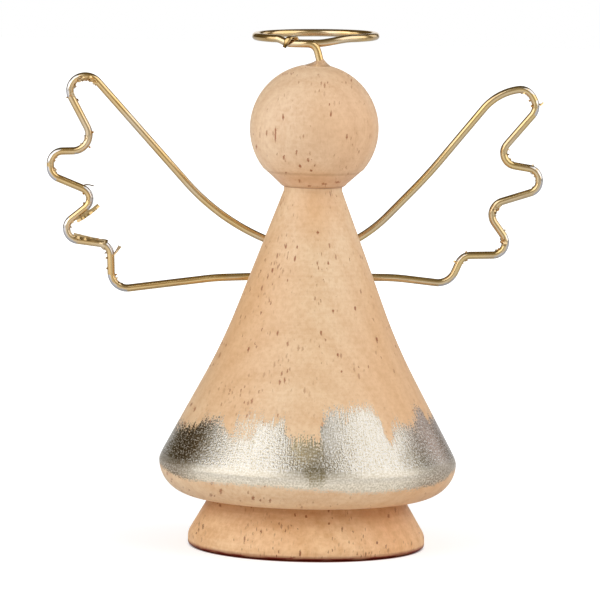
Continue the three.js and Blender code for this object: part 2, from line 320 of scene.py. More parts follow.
def beechRays(tree, look, spot, grain, height):
    # rays cut through by the turning, gathered in clusters
    crowd = unevenness(tree, grain, beech["clusterSize"], 0.0)
    cluster = addNode(tree, "MapRange", [crowd, *beech["clusterEdge"]])
    if look["crowdedSide"]:
        sideways = addNode(tree, "SeparateXYZ", [spot], "X")
        fuller = addNode(tree, "MapRange", [sideways, *look["crowdedSide"], *beech["crowding"]])
        cluster = addNode(tree, "Math.MULTIPLY", [cluster, fuller])
    # their outlines are uneven, and on a cone they draw together towards its apex
    uneven = unevenness(tree, grain, beech["raggedSize"], 1.0, "Color")
    middled = addNode(tree, "VectorMath.SUBTRACT", [uneven, (0.5, 0.5, 0.5)])
    push = addNode(tree, "VectorMath.MULTIPLY", [middled, beech["raggedReach"]])
    cut = grain
    if look["apex"]:
        below = addNode(tree, "Math.SUBTRACT", [look["apex"], height])
        share = addNode(tree, "Math.DIVIDE", [below, look["apexRoom"]])
        narrow = addNode(tree, "Math.POWER", [share, beech["narrowing"]])
        drawnIn = addNode(tree, "CombineXYZ", [narrow, 1.0, 1.0])
        cut = addNode(tree, "VectorMath.MULTIPLY", [grain, drawnIn])
    cut = addNode(tree, "VectorMath.ADD", [cut, push])
    flecks = rayFlecks(tree, cut, beech["fleckCell"], beech["fleckShare"], cluster)
    crumbs = rayFlecks(tree, cut, beech["crumbCell"], beech["crumbShare"], cluster)
    rays = addNode(tree, "Math.MAXIMUM", [flecks, crumbs])
    if look["marks"]:
        marks = [((x, y, z), (wide, beech["markDepth"], tall)) for x, y, z, wide, tall in look["marks"]]
        pushed = addNode(tree, "VectorMath.ADD", [spot, push])
        large = ovalPlaces(tree, pushed, marks, beech["markEdge"], look["apex"])
        rays = addNode(tree, "Math.MAXIMUM", [rays, large])
    return rays


def beechNodes(tree, look):
    place = addNode(tree, "TexCoord", out="Object")
    spot = addNode(tree, "Mapping", {"Vector": place, "Scale": perMm(mm, mm, mm)})
    height = addNode(tree, "SeparateXYZ", [spot], "Z")
    grain = addNode(tree, "Mapping", {"Vector": spot, "Location": look["shift"]})
    ground = beechGround(tree, look, spot, grain)
    rays = beechRays(tree, look, spot, grain, height)
    # fine pores along the grain
    pores = unevenness(tree, grain, beech["poreCell"], 2.0)
    poreDark = addNode(tree, "MapRange", [pores, *beech["poreEdge"], 0.0, beech["poreDepth"]])
    darkest = addNode(tree, "Math.MAXIMUM", [rays, poreDark])
    dark = addNode(tree, "Math.MULTIPLY", [darkest, beech["inkShare"]])
    colour = addNode(tree, "Mix", {0: dark, 6: ground, 7: linearColour(look["fleck"])}, **inColour)
    # dark lines round the piece: painted shade in joints, under overhangs and at the foot's edge, and the
    # crease line
    breaks = unevenness(tree, grain, beech["lineBreak"], 2.0)
    unbroken = addNode(tree, "MapRange", [breaks, *beech["breakEdge"], beech["breakLeast"]])
    for level, half, depth, tint in look["lines"]:
        off = addNode(tree, "Math.SUBTRACT", [height, level])
        near = addNode(tree, "Math.ABSOLUTE", [off])
        line = addNode(tree, "MapRange", [near, half, beech["lineWhole"] * half, 0.0, depth])
        drawn = addNode(tree, "Math.MULTIPLY", [line, unbroken])
        colour = addNode(tree, "Mix", {0: drawn, 6: colour, 7: linearColour(tint)}, **inColour)
    return {"spot": spot, "colour": colour, "dark": dark, "pores": pores}


def makeBeech(name, look):
    material, tree, shader = startMaterial(name)
    wood = beechNodes(tree, look)
    rough = addNode(tree, "MapRange", [wood["pores"], 0.0, 1.0, *beech["roughness"]])
    sunk = addNode(tree, "Math.SUBTRACT", [1.0, wood["dark"]])
    relief = addNode(tree, "Bump", {"Height": sunk, "Strength": 0.5, "Distance": beech["relief"] * mm})
    setInputs(tree, shader, {"Base Color": wood["colour"], "Roughness": rough, "Normal": relief})
    lacquer = {"Coat Weight": beech["lacquer"], "Coat Roughness": beech["lacquerRoughness"]}
    setInputs(tree, shader, lacquer)
    return material


# A look's places of painted shade have a middle and half sizes. Its marks are the few large rays: across,
# inward, up, half width and half height. Its lines have a height, a half width, depth and colour
headLook = {
    "pale": "#efd2b0",
    "deep": "#e7bd93",
    "ring": "#cb9b6e",
    "ringDepth": 0.16,
    "shift": (11, 5, 40),
    # painted shade on the ball's right side and low at its front
    "paintedShadePlaces": [((10, -10, 112), (14, 14, 18)), ((0, -14, 100), (14, 10, 8))],
    "crowdedSide": None,
    "apex": None,
    "fleck": "#984a10",
    "marks": [
        (-10.4, -14, 112.8, 0.26, 2.3), (-8.4, -14.8, 117.6, 0.3, 0.9), (-8, -14, 106.8, 0.26, 0.7),
        (-3.6, -14.4, 104.5, 0.36, 0.55), (-1.5, -15.7, 106.2, 0.33, 0.5), (-0.6, -14, 103.3, 0.36, 0.36),
        (0.4, -15, 104.9, 0.22, 0.5), (3.0, -9.5, 99.4, 0.9, 0.3), (6.6, -8.5, 99.9, 0.8, 0.28),
        (-1.0, -9.0, 98.9, 0.5, 0.25),
    ],
    # a dark line at the ledge over the facet, painted shade on the facet and in the joint at the flat's edge
    "lines": [
        (headCentre - creaseDrop, 0.45, 0.32, "#a8703f"),
        (headLow.z + 1.2, 2.8, 0.32, "#cc8c5c"),
        (headLow.z, 0.6, 0.4, "#9a6034"),
    ],
}
footLook = {
    "pale": "#f6cfa0",
    "deep": "#ecb680",
    "ring": "#cb8e50",
    "ringDepth": 0.2,
    "shift": (-23, 31, 90),
    # painted shade on the foot's right side
    "paintedShadePlaces": [((25, -18, 7), (13, 17, 14))],
    "crowdedSide": (40, 60),  # past its right edge, so that all of it is crowded
    "apex": None,
    "fleck": "#86400e",
    "marks": [
        (-1.5, -32.2, 2.0, 0.3, 1.1), (-3.6, -32.0, 0.9, 0.9, 0.25), (-12.1, -27.5, 7.0, 0.26, 0.5),
        (-3.1, -27.1, 11.7, 0.3, 0.45), (-0.1, -27.4, 11.4, 0.32, 0.36), (6.1, -27.8, 9.7, 0.3, 0.35),
        (19.1, -25.1, 4.4, 0.26, 0.45), (-23.4, -13.5, 12.1, 0.4, 0.4), (-7.3, -27.8, 9.3, 0.2, 0.45),
    ],
    # painted shade under the skirt, and painted contact shade along the edge that it stands on
    "lines": [(footHigh.z, 6.0, 0.45, "#a4622a"), (footLow.z, 1.4, 1.0, "#7c260e")],
}
skirtLook = {
    "pale": "#ebcca6",
    "deep": "#e4b88a",
    "ring": "#cb9866",
    "ringDepth": 0.16,
    "shift": (0, 0, 0),
    # painted shade down both flanks, round the top and under the hem
    "paintedShadePlaces": [
        ((-18, -12, 62), (16, 20, 38)), ((1, -8, 93), (7.5, 9, 11)), ((23, -12, 54), (15, 20, 39)),
        ((30, -22, 17), (14, 16, 8)),
    ],
    "crowdedSide": (-14, 6),  # the flecks gather to the left
    "apex": 116.0,  # the height that the cone's sides meet at
    "apexRoom": 50.0,  # how far below it a fleck has its plain width
    "fleck": "#90430a",
    "marks": [
        (-7, -11.5, 82.5, 0.28, 0.8), (-4, -12.5, 82.5, 0.26, 0.6), (-4.5, -13.5, 79.5, 0.3, 0.9),
        (-10.5, -11.5, 76, 0.26, 0.7), (1.5, -12, 86.5, 0.36, 0.5), (4.5, -14, 78.5, 0.26, 0.6),
        (6, -18.5, 66, 0.3, 0.6), (12, -15, 66.5, 0.26, 0.7), (18, -13, 58, 0.24, 1.0),
        (-16.5, -16.5, 55, 0.3, 0.7), (7.5, -22.5, 54.5, 0.3, 0.6),
    ],
    "lines": [],
}
dowelLook = {
    "pale": "#e2c196",
    "deep": "#d9b384",
    "ring": "#c99c68",
    "ringDepth": 0.25,
    "shift": (60, -40, 10),
    "paintedShadePlaces": [],
    "crowdedSide": None,
    "apex": None,
    "fleck": "#7f4d25",
    "marks": [],
    "lines": [],
}

# Metallic paint on the hem, brushed on upwards and let dry: champagne silver whose grainy
# brush marks break its reflections into specks, with ragged dry ends over bare wood
paint = {
    # strokes of the brush: middle and half width in degrees round from the front, and top
    "strokes": [
        (-171, 9, 38.5), (-146, 12, 40.0), (-124, 8, 38.0), (-101, 11, 38.5), (-74, 9, 34.6), (-50, 13, 38.8),
        (-17, 8, 40.6), (12, 7, 43.4), (25, 13, 43.8), (49, 11, 40.8), (64, 9, 42.6), (82, 12, 39.5),
        (110, 13, 40.0), (136, 9, 37.0), (158, 11, 41.0),
    ],
    "gapTop": 35.8,  # solid paint between strokes
    "hairReach": 8.0,  # how far single hairs went past a stroke's top
    "wetRun": (2.5, 11.5),  # run over which the paint gets whole
    "wetMost": 1.2,
    # nearly dry strokes that only leave dots: middle, half width, top
    "dryStrokes": [(-152, 10, 42.5), (-28, 12, 43.5), (66, 5, 42.0), (124, 12, 43.0)],
    "dryRun": 7.0,
    "dryMost": 0.55,
    # lower edge round the hem: degrees from the front, height
    "underEdge": [
        (-180, 19.6), (-110, 19.2), (-80, 20.2), (-52, 18.8), (-20, 19.2), (0, 18.7), (25, 17.7), (40, 17.8),
        (60, 18.3), (80, 20.2), (130, 19.2), (180, 19.6),
    ],
    "underRagged": (1.4, 2.0),  # how far that edge is smeared and notched
    "low": 14.0,
    "high": 46.0,
    "sideRagged": 2.6,  # how far a stroke's side wanders, and over what lengths
    "wander": (2.5, 4.0, 1),
    "streak": (0.34, 7.0),  # brush hairs, wide and long, drawn coarse enough to show
    "hairEdge": (0.3, 0.7),
    "turnHeight": (21.5, 25.5),  # below this the brush went round the hem instead of up
    "roundStrokes": (35, 55, 9.0),  # from this angle to the right it went round that much higher up
    "grit": (0.5, 0.5, 0.5),
    "rows": (1.6, 0.38, 1),  # sanding lines under the paint, drawn coarse enough to show
    "rowShare": 0.3,
    "gritEdge": (0.36, 0.64),
    "catchShare": 0.45,  # of grit, the rest of hairs, in what the ends of strokes catch on
    "catchEdge": (-0.04, 0.14),
    "smearShare": 0.7,  # and in what smears the lower edge
    "smearEdge": (-0.6, 0.4),
    "bright": "#e2e0de",
    "dull": "#a89f8c",
    "roughness": 0.26,
    "hem": ("#c9bca4", "#f6ecda"),  # thick paint on the hem, pearly more than mirror-like
    "hemSmooth": 0.8,
    "hemMetal": 0.1,
    "hemRoughness": 0.4,
    "mattFlakes": (0.55, 0.88, 0.55),  # from which grit, to which, and how far flakes are matt
    "streakShare": 0.3,  # of hairs, the rest of grit, in the paint's tone
    "reliefShare": 0.35,  # and in its relief
    "relief": 0.1,
    # blotches that are short of paint high up
    "blotchSize": (5.0, 6.0, 1),
    "blotchEdge": (0.54, 0.72),
    "blotchHeight": (31.0, 36.0),
    "blotchMost": 0.45,
    # places where the brush was nearly dry and wood shows between the specks: middle and half
    # width in degrees, lowest height, share of the paint that is missing
    "thinPlaces": [(50, 17, 30.0, 0.3), (-31, 8, 34.0, 0.4), (10, 3, 34.0, 0.12)],
    "thinRise": 3.0,
    "thinWhole": 0.6,  # share of a thin place's half width where all of that is missing
    # places of painted light, darker and tinted reflections, shade at the hem's ends and a whiter highlight:
    # middle and half width in degrees, height and its half, share, colour and how far the paint is matt there
    "paintedLightPlaces": [
        # painted reflection tones at the front
        (-1, 7, 31.0, 5.0, 0.55, "#c0a868", 0.34),
        (3, 5, 24.0, 3.2, 0.75, "#7a6a3a", 0.15),
        # a whiter, matt place that stands in for a highlight
        (10, 5, 36.0, 8.0, 0.3, "#f6f0e6", 0.4),
        # painted reflection tones to the right and to the left
        (48, 8, 27.5, 4.0, 0.4, "#6f6140", 0.1),
        (-60, 14, 30.0, 8.0, 0.9, "#72540e", 0.0),
        (72, 22, 33.0, 10.0, 0.7, "#a58880", 0.0),
        # painted shade towards both ends of the hem
        (-72, 26, 20.0, 4.5, 1.0, "#6a5538", 0.0),
        (66, 26, 20.0, 4.5, 0.9, "#84705a", 0.0),
    ],
    "paintedLightEdge": (1.2, 0.5),
    "paintedLightGritEdge": (0.75, 0.25),  # the painted light lies mostly between the grit
    "paintedLightGritLeast": 0.5,
}


def edgeCurve(tree, around, points):
    # height of an edge from the angle round the piece, as a share between low and high
    value = addNode(tree, "FloatCurve", {"Factor": 1.0, "Value": around})
    curve = value.node.mapping.curves[0]
    span = paint["high"] - paint["low"]
    places = [(angle / 360 + 0.5, (height - paint["low"]) / span) for angle, height in points]
    curve.points[0].location, curve.points[1].location = places[0], places[-1]
    for place in places[1:-1]:
        curve.points.new(*place)
    for point in curve.points:
        point.handle_type = "AUTO_CLAMPED"
    value.node.mapping.update()
    return addNode(tree, "MapRange", [value, 0.0, 1.0, paint["low"], paint["high"]])


def strokePoints(strokes, between):
    # each stroke rises steeply, runs nearly level and falls off again
    heights = {}
    for angle in range(-180, 181, 2):
        height = between
        for middle, half, top in strokes:
            off = abs((angle - middle + 180) % 360 - 180) / half
            if off < 1:
                height = max(height, between + (top - between) * (1 - off ** 5))
        heights[angle] = height
    return list(heights.items())


def paintSkin(tree, angle, height):
    # the skirt's side rolled out flat, for the brush hairs, up and round, and the grit
    run = addNode(tree, "Math.MULTIPLY", [angle, skirtHigh.x])
    sheet = addNode(tree, "CombineXYZ", [run, height])
    wide, long = paint["streak"]
    upHairs = unevenness(tree, sheet, (wide, long, 1), 2.0)
    roundHairs = unevenness(tree, sheet, (long, wide, 1), 2.0)
    start, whole, rise = paint["roundStrokes"]
    raised = addNode(tree, "MapRange", [angle, math.radians(start), math.radians(whole), 0.0, rise])
    settled = addNode(tree, "Math.SUBTRACT", [height, raised])
    strokeTurn = addNode(tree, "MapRange", [settled, *paint["turnHeight"]])
    hairs = addNode(tree, "Mix", {0: strokeTurn, 2: roundHairs, 3: upHairs})
    specks = unevenness(tree, sheet, paint["grit"], 1.0)
    rows = unevenness(tree, sheet, paint["rows"], 1.0)
    grit = addNode(tree, "Mix", {0: paint["rowShare"], 2: specks, 3: rows})
    return {
        "sheet": sheet,
        "upHairs": addNode(tree, "MapRange", [upHairs, *paint["hairEdge"]]),
        "hairs": addNode(tree, "MapRange", [hairs, *paint["hairEdge"]]),
        "grit": addNode(tree, "MapRange", [grit, *paint["gritEdge"]]),
        "upward": addNode(tree, "MapRange", [height, *paint["turnHeight"]]),
    }


def paintCover(tree, skin, height, wander, centred):
    # edges from the strokes
    turn = addNode(tree, "Math.MULTIPLY_ADD", [centred, 0.5 / math.pi, 0.5])
    wetTop = edgeCurve(tree, turn, strokePoints(paint["strokes"], paint["gapTop"]))
    dryTop = edgeCurve(tree, turn, strokePoints(paint["dryStrokes"], paint["low"]))
    under = edgeCurve(tree, turn, paint["underEdge"])

    # how much paint is left: full below a stroke's top, thin where the brush ran dry
    ragged = addNode(tree, "Math.MULTIPLY_ADD", [skin["upHairs"], paint["hairReach"], wetTop])
    wetRoom = addNode(tree, "Math.SUBTRACT", [ragged, height])
    wet = addNode(tree, "MapRange", [wetRoom, *paint["wetRun"], 0.0, paint["wetMost"]])
    dryRoom = addNode(tree, "Math.SUBTRACT", [dryTop, height])
    dots = addNode(tree, "MapRange", [dryRoom, 0.0, paint["dryRun"], 0.0, paint["dryMost"]])
    blotches = unevenness(tree, skin["sheet"], paint["blotchSize"], 1.0)
    short = addNode(tree, "MapRange", [blotches, *paint["blotchEdge"], 0.0, paint["blotchMost"]])
    upper = addNode(tree, "MapRange", [height, *paint["blotchHeight"]])
    missing = addNode(tree, "Math.MULTIPLY", [short, upper])
    laid = addNode(tree, "Math.SUBTRACT", [wet, missing])
    rise = paint["thinRise"]
    for middle, half, lowest, share in paint["thinPlaces"]:
        off = addNode(tree, "Math.SUBTRACT", [centred, math.radians(middle)])
        beside = addNode(tree, "Math.ABSOLUTE", [off])
        half = math.radians(half)
        inside = addNode(tree, "MapRange", [beside, half, paint["thinWhole"] * half, 0.0, share])
        above = addNode(tree, "MapRange", [height, lowest - rise, lowest + rise])
        taken = addNode(tree, "Math.MULTIPLY", [inside, above])
        laid = addNode(tree, "Math.SUBTRACT", [laid, taken])
    left = addNode(tree, "Math.MAXIMUM", [laid, dots])

    # paint holds where hairs and grit stand high enough, down to the smeared lower edge
    catch = addNode(tree, "Mix", {0: paint["catchShare"], 2: skin["upHairs"], 3: skin["grit"]})
    margin = addNode(tree, "Math.SUBTRACT", [left, catch])
    held = addNode(tree, "MapRange", [margin, *paint["catchEdge"]])
    smeared = addNode(tree, "Mix", {0: paint["smearShare"], 2: skin["hairs"], 3: skin["grit"]})
    smear, notch = paint["underRagged"]
    smearedUnder = addNode(tree, "Math.MULTIPLY_ADD", [smeared, smear, under])
    notchedUnder = addNode(tree, "Math.MULTIPLY_ADD", [wander, notch, smearedUnder])
    overUnder = addNode(tree, "Math.SUBTRACT", [height, notchedUnder])
    over = addNode(tree, "MapRange", [overUnder, *paint["smearEdge"]])
    return addNode(tree, "Math.MULTIPLY", [held, over])


def brushedPaint(tree, spot):
    across = addNode(tree, "SeparateXYZ", [spot])
    inward, height = across.node.outputs["Y"], across.node.outputs["Z"]
    front = addNode(tree, "Math.MULTIPLY", [inward, -1.0])
    angle = addNode(tree, "Math.ARCTAN2", [across, front])
    skin = paintSkin(tree, angle, height)
    # the sides of strokes and places wander
    wander = unevenness(tree, skin["sheet"], paint["wander"], 3.0)
    sway = paint["sideRagged"] / skirtHigh.x
    swung = addNode(tree, "Math.MULTIPLY_ADD", [wander, 2 * sway, angle])
    centred = addNode(tree, "Math.SUBTRACT", [swung, sway])
    cover = paintCover(tree, skin, height, wander, centred)
    around = addNode(tree, "CombineXYZ", [centred, height])
    # places of painted light: darker and tinted reflections, shade at the hem's ends and a whiter highlight
    paintedLightPlaces = []
    matt = 0.0
    for middle, halfTurn, level, halfLevel, share, tint, dulled in paint["paintedLightPlaces"]:
        half = (math.radians(halfTurn), halfLevel, 1)
        place = ovalPlace(tree, around, (math.radians(middle), level, 0), half, paint["paintedLightEdge"])
        paintedLightPlaces.append((addNode(tree, "Math.MULTIPLY", [place, share]), tint))
        matt = addNode(tree, "Math.MULTIPLY_ADD", [place, dulled, matt])
    return {**skin, "cover": cover, "paintedLightPlaces": paintedLightPlaces, "matt": matt}


def makePaintedBeech():
    material, tree, shader = startMaterial("beechWithBrushedMetallicPaint")
    wood = beechNodes(tree, skirtLook)
    brushed = brushedPaint(tree, wood["spot"])
    cover, grit, upward = brushed["cover"], brushed["grit"], brushed["upward"]
    # round the hem the paint lies thicker, so it is smoother and paler
    smooth = addNode(tree, "MapRange", [upward, 0.0, 1.0, paint["hemSmooth"], 0.0])
    paler = addNode(tree, "Math.MAXIMUM", [grit, smooth])
    streaked = addNode(tree, "Mix", {0: paint["streakShare"], 2: paler, 3: brushed["hairs"]})
    tones = {6: linearColour(paint["dull"]), 7: linearColour(paint["bright"])}
    silver = addNode(tree, "Mix", {0: streaked, **tones}, **inColour)
    pearls = {6: linearColour(paint["hem"][0]), 7: linearColour(paint["hem"][1])}
    pearl = addNode(tree, "Mix", {0: grit, **pearls}, **inColour)
    coat = addNode(tree, "Mix", {0: upward, 6: pearl, 7: silver}, **inColour)
    # painted reflections, shade and highlight over the paint, mostly between the grit
    between = addNode(tree, "MapRange", [grit, *paint["paintedLightGritEdge"], paint["paintedLightGritLeast"]])
    for paintedLight, tint in brushed["paintedLightPlaces"]:
        paintedLightShare = addNode(tree, "Math.MULTIPLY", [between, paintedLight])
        coat = addNode(tree, "Mix", {0: paintedLightShare, 6: coat, 7: linearColour(tint)}, **inColour)
    colour = addNode(tree, "Mix", {0: cover, 6: wood["colour"], 7: coat}, **inColour)
    # it mirrors less round the hem, on its matt flakes and in the matt places
    upMetal = addNode(tree, "MapRange", [upward, 0.0, 1.0, paint["hemMetal"]])
    start, whole, most = paint["mattFlakes"]
    flakes = addNode(tree, "MapRange", [grit, start, whole, 1.0, 1 - most])
    polished = addNode(tree, "Math.SUBTRACT", [1.0, brushed["matt"]])
    metal = cover
    for part in (upMetal, flakes, polished):
        metal = addNode(tree, "Math.MULTIPLY", [metal, part])
    coatRough = addNode(tree, "MapRange", [upward, 0.0, 1.0, paint["hemRoughness"], paint["roughness"]])
    rough = addNode(tree, "Mix", {0: cover, 2: beech["paintedRoughness"], 3: coatRough})
    marks = addNode(tree, "Mix", {0: paint["reliefShare"], 2: grit, 3: brushed["hairs"]})
    thick = addNode(tree, "Math.MULTIPLY", [marks, cover])
    relief = addNode(tree, "Bump", {"Height": thick, "Strength": 0.5, "Distance": paint["relief"] * mm})
    setInputs(tree, shader, {"Base Color": colour, "Metallic": metal, "Roughness": rough, "Normal": relief})
    return material


# Gold film on soft aluminium wire: a clean polished gold, split and worn away to bare
# silvery aluminium round the outside of tight bends
gilding = {
    "gold": ("#d2ae76", "#e6c993", "#dcc7a6"),  # in the scuffs, between them and where it drifts
    "paleGold": ("#c9b08a", "#dcc8a4", "#dcc28c"),  # the right wing's film is thinner and greyer
    "bare": "#d2d0d2",
    # darker film, and painted shade on the halo's hook
    "darkFilmAndShade": "#5f4822",
    "drift": (13.0, 9.0, 1),  # stretches over which the film's tone changes
    "driftEdge": (0.42, 0.62),
    "scuff": (7.0, 0.4, 1),  # faint marks along and across the wire
    "scuffEdge": (0.35, 0.6),
    "roughness": (0.1, 0.22),
    "roughEdge": (0.3, 0.7),
    "tear": (1.4, 0.9, 1),  # size of the bits that the film tears into
    "tearShare": 0.9,
    "tearEdge": (0.9, 1.0),
    "darkeningEdge": (-0.05, -1.0),  # wear below 0 darkens the film: painted shade on the halo's hook, darker film on the strips
    "relief": 0.03,
}


def makeGilding(name, tones):
    material, tree, shader = startMaterial(name)
    layers = ("along", "around", "wear")
    along, around, wear = (addNode(tree, "Attribute", out="Fac", attribute_name=label) for label in layers)
    skin = addNode(tree, "CombineXYZ", [along, around])
    scuffs = unevenness(tree, skin, gilding["scuff"], 3.0)
    tears = unevenness(tree, skin, gilding["tear"], 3.0)
    drifts = unevenness(tree, skin, gilding["drift"], 1.0)
    torn = addNode(tree, "Math.MULTIPLY_ADD", [tears, gilding["tearShare"], wear])
    clean = addNode(tree, "MapRange", [scuffs, *gilding["scuffEdge"]])
    drift = addNode(tree, "MapRange", [drifts, *gilding["driftEdge"]])
    worn = addNode(tree, "MapRange", [torn, *gilding["tearEdge"]])
    darkening = addNode(tree, "MapRange", [wear, *gilding["darkeningEdge"]])
    colour = linearColour(tones[0])
    coats = [(clean, tones[1]), (drift, tones[2]), (worn, gilding["bare"]), (darkening, gilding["darkFilmAndShade"])]
    for share, tone in coats:
        colour = addNode(tree, "Mix", {0: share, 6: colour, 7: linearColour(tone)}, **inColour)
    rough = addNode(tree, "MapRange", [scuffs, *gilding["roughEdge"], *gilding["roughness"]])
    depth = addNode(tree, "Math.SUBTRACT", [scuffs, worn])
    relief = addNode(tree, "Bump", {"Height": depth, "Strength": 0.25, "Distance": gilding["relief"] * mm})
    setInputs(tree, shader, {"Base Color": colour, "Metallic": 1.0, "Roughness": rough, "Normal": relief})
    return material


# Clear glue, set hard: a glassy wet-looking meniscus with a faint warm tint
setGlue = {
    "tints": ("#d9b08a", "#e3bf9b"),
    "ripple": 0.8,
    "relief": 0.05,
    "ior": 1.47,
    "roughness": 0.05,
    "gloss": 0.6,
    "alpha": 0.8,  # the wood under it shows through a little
}


def makeClearGlue():
    material, tree, shader = startMaterial("clearSetGlue")
    place = addNode(tree, "TexCoord", out="Object")
    ripples = unevenness(tree, place, [setGlue["ripple"] * mm] * 3, 1.0)
    tints = {6: linearColour(setGlue["tints"][0]), 7: linearColour(setGlue["tints"][1])}
    colour = addNode(tree, "Mix", {0: ripples, **tints}, **inColour)
    relief = addNode(tree, "Bump", {"Height": ripples, "Strength": 0.3, "Distance": setGlue["relief"] * mm})
    setInputs(tree, shader, {"Base Color": colour, "Normal": relief, "Alpha": setGlue["alpha"]})
    glassy = {"IOR": setGlue["ior"], "Roughness": setGlue["roughness"], "Coat Weight": setGlue["gloss"]}
    setInputs(tree, shader, glassy)
    return material


beechHead = makeBeech("turnedBeechHead", headLook)
beechFoot = makeBeech("turnedBeechFoot", footLook)
beechDowel = makeBeech("beechDowelRod", dowelLook)
paintedBeech = makePaintedBeech()
gildedWire = makeGilding("gildedAluminiumWire", gilding["gold"])
paleWire = makeGilding("paleGildedAluminiumWire", gilding["paleGold"])
clearGlue = makeClearGlue()
print("materials made")

# Foot: a low cone with a short upright wall and a blind hole for the dowel
foot = {
    "topRadius": 26.2,
    "wall": 3.1,
    "edgeRound": 0.8,
    "shoulderRound": 1.2,
    "holeRadius": 5.3,
    "holeDepth": 9.3,
}


def makeFoot():
    shoulder = (footHigh.x, foot["wall"])
    top = (foot["topRadius"], footHigh.z)
    profile = [(0, footLow.z)]
    roundCorner(profile, (footHigh.x, footLow.z), shoulder, foot["edgeRound"])
    roundCorner(profile, shoulder, top, foot["shoulderRound"])
    straightTo(profile, top)
    straightTo(profile, (foot["holeRadius"], footHigh.z))
    straightTo(profile, (foot["holeRadius"], footHigh.z - foot["holeDepth"]))
    straightTo(profile, (0, footHigh.z - foot["holeDepth"]))
    dressPiece("angel_foot", *turned(profile), beechFoot, "beech", "foot")


# Skirt: two cones that meet in a soft flare, over a full round hem
skirt = {
    "hemHeight": 9.2,
    "undersideRadius": 30.8,
    "hemShoulder": 0.8,
    "hemShoulderRound": 3.2,
    "flareRadius": 23.75,
    "flareHeight": 41.3,
    "flareRound": 10.5,
    "neckRadius": 7.95,
    "neckHeight": 1.1,
    "footHole": (5.3, 9.3),
    "neckHole": (3.3, 8.3),
}


def coneRadius(height):
    neckFoot = skirtHigh.z - skirt["neckHeight"]
    flareTop = skirtLow.z + skirt["flareHeight"]
    share = (neckFoot - height) / (neckFoot - flareTop)
    return skirt["neckRadius"] + share * (skirt["flareRadius"] - skirt["neckRadius"])


def makeSkirt(wireHoles):
    base, top, hem = skirtLow.z, skirtHigh.z, skirtHigh.x
    holeRadius, holeDepth = skirt["footHole"]
    profile = [(0, base + holeDepth)]
    straightTo(profile, (holeRadius, base + holeDepth))
    straightTo(profile, (holeRadius, base))
    straightTo(profile, (skirt["undersideRadius"], base))
    widest = base + skirt["hemHeight"]
    reach = (hem - skirt["undersideRadius"], skirt["hemHeight"])
    arcTo(profile, (skirt["undersideRadius"], widest), reach, -math.pi / 2, 0, 20)
    hemCorner = np.array((hem, widest + skirt["hemShoulder"]))
    flare = np.array((skirt["flareRadius"], base + skirt["flareHeight"]))
    slope = (flare - hemCorner) / np.linalg.norm(flare - hemCorner)
    curveTo(profile, hemCorner, hemCorner + slope * skirt["hemShoulderRound"])
    neckFoot = (skirt["neckRadius"], top - skirt["neckHeight"])
    roundCorner(profile, flare, neckFoot, skirt["flareRound"])
    straightTo(profile, neckFoot)
    straightTo(profile, (skirt["neckRadius"], top), 0.5)
    holeRadius, holeDepth = skirt["neckHole"]
    straightTo(profile, (holeRadius, top))
    straightTo(profile, (holeRadius, top - holeDepth))
    straightTo(profile, (0, top - holeDepth))
    body = dressPiece("angel_skirt", *turned(profile), paintedBeech, "beech", "skirt_body")
    boreHoles(body, wireHoles)


# Head: a ball with a flat at the neck, and the narrow facet that the chisel left above it
head = {
    "creaseDepth": 0.2,
    "creaseWidth": 0.3,
    "edgeRise": 0.9,  # the facet rounds over into the flat
    "edgeCorner": (0.5, 0.15),  # how far in from the rim and up from the flat that rounding bends
    "neckEase": 0.05,
    "neckHole": (3.3, 8.3),
    "glueLine": 0.04,
}


def makeHead(stemHole):
    flat = skirtHigh.z + head["glueLine"]
    holeRadius, holeDepth = head["neckHole"]
    profile = [(0, flat + holeDepth)]
    straightTo(profile, (holeRadius, flat + holeDepth))
    straightTo(profile, (holeRadius, flat))
    straightTo(profile, (skirt["neckRadius"] - head["neckEase"], flat))
    edge = flat + head["edgeRise"]
    rim = math.sqrt(headRadius ** 2 - (headCentre - edge) ** 2)
    inset, lift = head["edgeCorner"]
    curveTo(profile, (rim - inset, flat + lift), (rim, edge), 6)
    creaseAngle = -math.asin(creaseDrop / headRadius)
    inner = headRadius - head["creaseDepth"]
    straightTo(profile, (inner * math.cos(creaseAngle), headCentre + inner * math.sin(creaseAngle)), 0.7)
    lip = creaseAngle + head["creaseWidth"] / headRadius
    arcTo(profile, (0, headCentre), (headRadius, headRadius), lip, math.pi / 2 - 0.01, 64)
    profile.append((0, headHigh.z))
    ball = dressPiece("angel_head", *turned(profile), beechHead, "beech", "head_ball")
    boreHoles(ball, [stemHole])


# Hidden dowels with eased ends
def makeDowel(name, node, ease=0.6):
    low, high = boxInMm(node)
    profile = [(0, low.z)]
    straightTo(profile, (high.x - ease, low.z))
    straightTo(profile, (high.x, low.z + ease))
    straightTo(profile, (high.x, high.z - ease))
    straightTo(profile, (high.x - ease, high.z))
    straightTo(profile, (0, high.z))
    dressPiece(name, *turned(profile, 64), beechDowel, "dowel", node)


# Wire: bent runs swept with a round section
wire = {
    "radius": 1.05,
    "sides": 20,
    "step": 0.35,
    "holeGap": 0.3,
    "wearReach": 1.4,
    "wearBend": (0.1, 0.2),  # curving, in radians per mm, where the film starts to tear and is torn
    "wearSide": (-0.2, 0.5),  # how far round to the outside of a bend it is torn
    "heldWhole": 0.6,  # share of a held bend's reach where no film is torn
}


def lineShare(value, low, high):
    return min(1.0, max(0.0, (value - low) / (high - low)))


def smoothStep(value, low, high):
    t = lineShare(value, low, high)
    return t * t * (3 - 2 * t)


